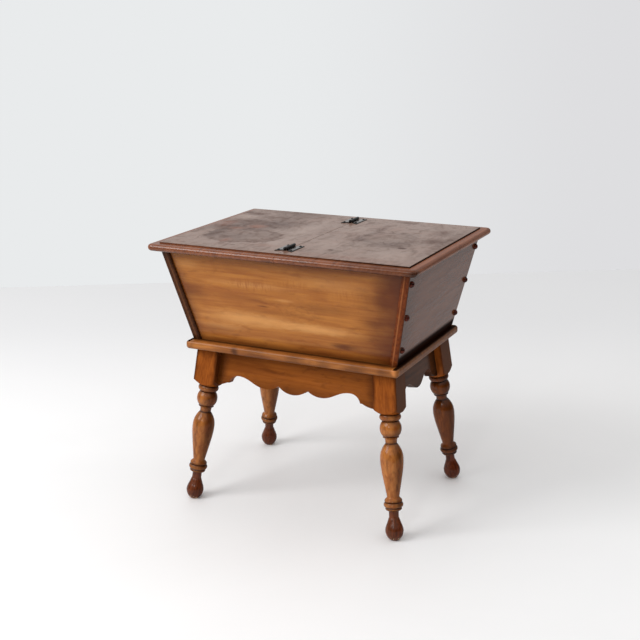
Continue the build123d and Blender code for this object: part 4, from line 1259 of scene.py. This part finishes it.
@dataclass
class Stand(Assembly):
    """Base board, aprons, turned legs and glue blocks.

    Attributes:
        foot_reach: Distance of a leg's axis from the middle at the floor, along X.
        foot_depth: The same, along Y.
        block_half: Half width of a leg's block.
        trough_foot: Half widths of the trough's foot along X and Y.
        grooves: Heights of the turned grooves up a leg's axis.
        edge_marks: Place along the front edge, reach and strength of the base board's dark marks.
        corner_highlight_strengths: Strength of the painted highlights on its left and right front corners.
        leg_tones: Tone of each leg: the front right one lighter as painted light, the back right one darker
            as painted shade.
    """

    foot_reach: float = 0.2689
    foot_depth: float = 0.1938
    block_half: float = 0.0285
    trough_foot: Pair = (0.262, 0.174)
    grooves: tuple[float, ...] = (0.0690, 0.0756, 0.0886, 0.2234, 0.2399, 0.2752, 0.2908)
    edge_marks: tuple[Triple, ...] = (
        (-0.262, 0.016, 0.5),
        (-0.138, 0.012, 0.8),
        (-0.080, 0.040, 0.25),
        (0.020, 0.034, 0.45),
        (0.092, 0.022, 0.4),
        (0.170, 0.040, 0.5),
        (0.235, 0.018, 0.4),
    )
    corner_highlight_strengths: Pair = (0.4, 0.85)
    # Lighter tone on the front right leg as painted light, darker tone on the back right leg as painted
    # shade.
    leg_tones: dict[str, Tone] = field(
        default_factory=lambda: {
            "front_left_leg": Tone.ORANGE,
            "front_right_leg": Tone.GOLDEN,
            "back_left_leg": Tone.ORANGE,
            "back_right_leg": Tone.CHESTNUT,
        }
    )

    def build(self) -> None:
        """Dresses every piece of the stand."""
        self.build_base()
        for index, name in enumerate((*SIDES, *ENDS)):
            self.build_apron(index, name)
        for side_name, side in SIDES.items():
            for end_name, end in ENDS.items():
                self.build_leg(f"{side_name}_{end_name}_leg", end, side)
        blocks = [name for name in self.nodes if name.endswith("glue_block")]
        self.finish(raw_wood("glue_block_wood", Z_AXIS * 0.38), *blocks)

    def build_base(self) -> None:
        """Base board, with painted shade on its ends and along its underside, and painted highlights on its
        front corners.
        """
        low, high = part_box("base_board")
        ends = tuple(EdgePlane(X_AXIS * end * high.x, X_AXIS * end, 0.014) for end in ENDS.values())
        corners = (Vector((end * (high.x - 0.004), low.y + 0.004, high.z - 0.006)) for end in ENDS.values())
        finish = LedgeFinish(
            "base_board_wood",
            Tone.HONEY,
            (low + high) / 2,
            X_AXIS,
            coat=0.5,
            coat_roughness=0.34,
            coat_ior=1.5,
            # Painted shade on both ends and along the underside.
            edges=(*ends, EdgePlane(low, -Z_AXIS, 0.006, 0.8)),
            depth=0.58,
            walls=self.trough_foot,
            top=high.z,
            patches=tuple(
                Stain((place, low.y, high.z - 0.010), (reach, 0.03, 0.014), dark)
                for place, reach, dark in self.edge_marks
            ),
            # Painted highlights on the front corners.
            corner_highlights=tuple(
                Stain(tuple(corner), (0.014, 0.014, 0.012), highlight_strength, 0.0, 0.4)
                for corner, highlight_strength in zip(corners, self.corner_highlight_strengths)
            ),
        )
        self.finish(finish, "base_board")

    def build_apron(self, index: int, name: str) -> None:
        """Dresses an apron, with painted shade towards the blocks and painted shadow under the base board.

        Args:
            index: Its number, which moves its pith.
            name: Its side of the chest.
        """
        low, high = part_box(f"{name}_apron")
        along = X_AXIS if name in SIDES else Y_AXIS
        reach = (high - low).dot(along) / 2 - 0.016
        ends = (EdgePlane(along * way * reach, along * way, 0.035) for way in (-1, 1))
        finish = ShadedFinish(
            f"{name}_apron_wood",
            # The end aprons take the darker walnut tone as painted shade, for their faces turned from the
            # light.
            Tone.TAWNY if name in SIDES else Tone.WALNUT,
            (low + high) / 2,
            along,
            pith=(0.09 + 0.02 * index, 0.05),
            contrast=0.6,
            coat=0.35,
            # Painted shade beside the blocks and painted shadow under the base board; darker towards the
            # lower edge.
            edges=(*ends, EdgePlane(high, Z_AXIS, 0.03, 0.8), EdgePlane(low, -Z_AXIS, 0.045, 0.8)),
            depth=0.62,
        )
        self.finish(finish, f"{name}_apron")

    def build_leg(self, name: str, end: int, side: int) -> None:
        """Dresses a turned leg, with its figure along its own axis.

        Args:
            name: Name of the leg.
            end: Its end of the chest.
            side: Its side of the chest.
        """
        foot = Vector((end * self.foot_reach, side * self.foot_depth, 0))
        outward = Vector((end, 0, math.tan(LEG_END_SPLAY))).normalized()
        finish = LegFinish(
            f"{name}_wood",
            self.leg_tones[name],
            foot,
            Vector((-end * math.tan(LEG_END_SPLAY), -side * math.tan(LEG_SIDE_SPLAY), 1)),
            ring_spacing=0.0075,
            pith=(0.06 * end, 0.045 * side),
            contrast=0.5,
            mottling=1.9,
            gloss=0.34,
            coat=0.85,
            coat_roughness=0.12,
            coat_ior=1.34,
            grooves=self.grooves,
            end_face=EdgePlane(foot + outward * self.block_half, outward, 0.001),
            block_half=self.block_half,
        )
        self.finish(finish, name)


@dataclass
class Hinges(Assembly):
    """Butterfly hinges and their slotted screws.

    Attributes:
        head_radius: Radius of a screw's head.
        head_rise: Height of its crown.
        slot_width: Width of the driver slot.
        slot_depth: Depth of the driver slot.
        slot_turns: Turns of the two slots of a plate.
        shank_radius: Radius of the shank.
        tip_length: Length of the tapered tip.
        screw_spread: Distance of each screw from the middle of its plate.
        crown_steps: Steps of the crown's arc.
        segments: Sides of the turned screw.
        weld: Distance within which points are one.
        sharp_angle: Angle past which an edge is sharp.
    """

    head_radius: float = 0.0035
    head_rise: float = 0.0017
    slot_width: float = 0.0009
    slot_depth: float = 0.0008
    slot_turns: Pair = (0.5, 1.9)
    shank_radius: float = 0.0018
    tip_length: float = 0.004
    screw_spread: float = 0.023
    crown_steps: int = 6
    segments: int = 48
    weld: float = 1e-7
    sharp_angle: float = math.radians(32)

    def build(self) -> None:
        """Dresses the plates and pins and puts slotted screws in the plates."""
        plate_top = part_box("front_hinge_fixed_screws")[1].z - self.head_rise
        pieces = ("pin", "fixed_plate", "moving_plate")
        names = [f"{hinge}_hinge_{piece}" for hinge in SIDES for piece in pieces]
        self.finish(IronFinish("hinge_iron", plate_top), *names)
        screw_iron = IronFinish("hinge_screw_iron", plate_top, 0.0).material()
        for hinge in SIDES:
            self.build_screws(f"{hinge}_hinge_fixed", "chest", screw_iron)
            self.build_screws(f"{hinge}_hinge_moving", "opening_leaf", screw_iron)

    def build_screws(self, mount: str, body: str, iron: bpy.types.Material) -> None:
        """Puts two slotted screws in place of the plain ones of one plate.

        Args:
            mount: Name of the hinge and its leaf.
            body: Body that the plate belongs to.
            iron: Finish of the screws.
        """
        low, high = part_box(f"{mount}_screws")
        centre = (low + high) / 2
        pair = bmesh.new()
        for end, turn in zip((-1, 1), self.slot_turns):
            screw = self.turned_screw(high.z - low.z)
            self.cut_slot(screw)
            place = Vector((centre.x, centre.y + end * self.screw_spread, high.z - self.head_rise))
            matrix = Matrix.Translation(place) @ Matrix.Rotation(turn + centre.y, 4, "Z")
            bmesh.ops.transform(screw, matrix=matrix, verts=screw.verts)
            mesh = bpy.data.meshes.new(f"{mount}_screw")
            screw.to_mesh(mesh)
            screw.free()
            pair.from_mesh(mesh)
            bpy.data.meshes.remove(mesh)
        screws = add_object(f"{mount}_slotted_screws", pair)
        screws.data.set_sharp_from_angle(angle=self.sharp_angle)
        dress(screws, iron)
        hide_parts(f"{mount}_screws")
        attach(screws, body)

    def turned_screw(self, length: float) -> bmesh.types.BMesh:
        """Screw with a domed head, turned about Z with the underside of its head at height 0.

        Args:
            length: Length of the whole screw, head included.

        Returns:
            The closed screw.
        """
        tip = self.head_rise - length
        ball = (self.head_radius**2 + self.head_rise**2) / (2 * self.head_rise)
        lean = math.asin(self.head_radius / ball)
        profile = [(0, 0, tip), (self.shank_radius, 0, tip + self.tip_length), (self.shank_radius, 0, 0)]
        for step in range(self.crown_steps + 1):
            angle = lean * (1 - step / self.crown_steps)
            profile.append((ball * math.sin(angle), 0, ball * math.cos(angle) - ball + self.head_rise))
        shape = bmesh.new()
        points = [shape.verts.new(place) for place in profile]
        outline = points + [shape.edges.new(pair) for pair in zip(points, points[1:])]
        turn = {"cent": (0, 0, 0), "axis": Z_AXIS, "angle": math.tau, "steps": self.segments}
        bmesh.ops.spin(shape, geom=outline, use_merge=True, **turn)
        bmesh.ops.remove_doubles(shape, verts=shape.verts, dist=self.weld)
        return shape

    def cut_slot(self, shape: bmesh.types.BMesh) -> None:
        """Sinks a driver slot along Y into a screw's head."""
        half = self.slot_width / 2
        floor = self.head_rise - self.slot_depth
        for point, normal in ((X_AXIS * half, X_AXIS), (X_AXIS * -half, X_AXIS), (Z_AXIS * floor, Z_AXIS)):
            everything = [*shape.verts, *shape.edges, *shape.faces]
            bmesh.ops.bisect_plane(shape, geom=everything, dist=self.weld, plane_co=point, plane_no=normal)
        centres = {face: face.calc_center_median() for face in shape.faces}
        strip = [face for face, centre in centres.items() if abs(centre.x) < half and centre.z > floor]
        bmesh.ops.delete(shape, geom=strip, context="FACES")
        rims = [edge for edge in shape.edges if edge.is_boundary]
        walls = bmesh.ops.extrude_edge_only(shape, edges=rims)
        for vertex in (item for item in walls["geom"] if isinstance(item, bmesh.types.BMVert)):
            vertex.co.z = floor
        bmesh.ops.remove_doubles(shape, verts=shape.verts, dist=self.weld)
        bmesh.ops.dissolve_degenerate(shape, dist=self.weld, edges=shape.edges)
        bmesh.ops.holes_fill(shape, edges=[edge for edge in shape.edges if edge.is_boundary], sides=0)
        bmesh.ops.recalc_face_normals(shape, faces=shape.faces)
        for face in shape.faces:
            face.smooth = True


# ---------------------------------------------------------------- studio


def add_object(name: str, shape: bmesh.types.BMesh) -> bpy.types.Object:
    """Puts a shape into the scene as an object, and frees the shape."""
    mesh = bpy.data.meshes.new(name)
    shape.to_mesh(mesh)
    shape.free()
    made = bpy.data.objects.new(name, mesh)
    bpy.context.scene.collection.objects.link(made)
    return made


@dataclass
class Studio:
    """Pale floor, soft lights and the camera.

    Attributes:
        floor_reach: Distance from the middle of the floor to its edges.
        floor_turn: Turn of the floor about Z.
        floor_cells: Cells of the floor along each side.
        aim: Point that the lights look at.
        lights: Place, length of the side and power in watts of each light.
        camera_place: Where the camera stands.
        yaw: Its turn from looking along +Y, towards -X.
        pitch: Its tilt below the horizon.
        roll: Its turn about its own axis.
        lens: Focal length in millimetres.
        sensor: Width of the camera's sensor in millimetres.
        front_glow: Brightness of the walls in front of the chest.
        back_glow: Brightness of the walls behind it.
        sky_glow: Brightness of the ceiling.
        right_share: Share of the walls' brightness that is left to the right of the chest.
    """

    floor_reach: float = 2.184
    floor_turn: float = math.radians(31.0)
    floor_cells: int = 8
    aim: Vector = Vector((0, 0, 0.4)).freeze()
    lights: dict[str, tuple[Vector, float, float]] = field(
        default_factory=lambda: {
            "key_light": (Vector((-2.3, -2.7, 2.9)), 2.2, 99),
            "streak_light": (Vector((0.5, -3.4, 2.0)), 0.35, 11),
        }
    )
    camera_place: Triple = (1.1644, -2.3710, 1.1924)
    yaw: float = math.radians(26.385)
    pitch: float = math.radians(15.96)
    roll: float = math.radians(-0.56)
    lens: float = 63.92
    sensor: float = 36
    front_glow: float = 0.25
    back_glow: float = 0.82
    sky_glow: float = 1.16
    right_share: float = 0.12

    def build(self) -> None:
        """Sets the floor, the lights, the surroundings and the camera."""
        self.build_floor()
        self.build_surroundings()
        self.build_lights()
        self.build_camera()
        view = bpy.context.scene.view_settings
        view.view_transform = "Standard"
        view.look = "None"

    def build_floor(self) -> None:
        """Square pale floor under the feet, which ends at the studio's wall."""
        shape = bmesh.new()
        turn = Matrix.Rotation(self.floor_turn, 4, "Z")
        cells = {"x_segments": self.floor_cells, "y_segments": self.floor_cells}
        bmesh.ops.create_grid(shape, size=self.floor_reach, matrix=turn, **cells)
        floor = add_object("floor", shape)
        dress(floor, FloorFinish("floor_paint").material())

    def build_surroundings(self) -> None:
        """Pale walls all round; what the camera sees of them is darker to the right."""
        graph = NodeGraph(bpy.data.worlds.new("studio"))
        bpy.context.scene.world = graph.owner
        axes = graph.node("ShaderNodeSeparateXYZ")
        graph.feed(axes.inputs[0], Wire(graph, graph.coordinates.outputs["Generated"]))
        aside, ahead, upward = (Wire(graph, output) for output in axes.outputs)
        depth = ahead.smooth(-0.6, 0.2, self.front_glow, self.back_glow)
        around = depth * aside.smooth(0.2, 0.6, 1.0, self.right_share)
        overhead = upward.smooth(0.2, 0.65)
        lit = graph.node("ShaderNodeBackground")
        graph.feed(lit.inputs["Strength"], around * (1.0 - overhead) + overhead * self.sky_glow)
        seen = graph.node("ShaderNodeBackground")
        graph.feed(seen.inputs["Color"], graph.mix(aside.smooth(-0.5, -0.2), WALL_LEFT, WALL_RIGHT))
        path = graph.node("ShaderNodeLightPath")
        choose = graph.node("ShaderNodeMixShader")
        output = graph.node("ShaderNodeOutputWorld")
        graph.tree.links.new(path.outputs["Is Camera Ray"], choose.inputs["Fac"])
        graph.tree.links.new(lit.outputs[0], choose.inputs[1])
        graph.tree.links.new(seen.outputs[0], choose.inputs[2])
        graph.tree.links.new(choose.outputs[0], output.inputs["Surface"])
        LOG.info("surroundings set")

    def build_lights(self) -> None:
        """Square soft lights that point at the chest."""
        for name, (place, size, power) in self.lights.items():
            data = bpy.data.lights.new(name, "AREA")
            data.size = size
            data.energy = power
            light = bpy.data.objects.new(name, data)
            light.location = place
            light.rotation_euler = (self.aim - place).to_track_quat("-Z", "Y").to_euler()
            bpy.context.scene.collection.objects.link(light)
            LOG.info("%s hung", name)

    def build_camera(self) -> None:
        """Camera at the height of a seated viewer, in front and to the right."""
        level = Vector((math.cos(self.yaw), math.sin(self.yaw), 0))
        ahead = Z_AXIS.cross(level) * math.cos(self.pitch) - Z_AXIS * math.sin(self.pitch)
        right = Matrix.Rotation(-self.roll, 3, ahead) @ level
        turn = Matrix((right, right.cross(ahead), -ahead)).transposed()
        data = bpy.data.cameras.new("camera")
        data.lens = self.lens
        data.sensor_width = self.sensor
        camera = bpy.data.objects.new("camera", data)
        camera.matrix_world = Matrix.Translation(self.camera_place) @ turn.to_4x4()
        bpy.context.scene.collection.objects.link(camera)
        bpy.context.scene.camera = camera
        LOG.info("camera set")


def main() -> None:
    """Builds the studio and dresses the chest, one sub-assembly after another."""
    logging.basicConfig(level=logging.INFO, format="%(message)s")
    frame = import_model()
    nodes = frame["nodes"]
    Studio().build()
    Lid(nodes).build()
    Trough(nodes).build()
    Stand(nodes).build()
    Hinges(nodes).build()


if __name__ == "__main__":
    main()
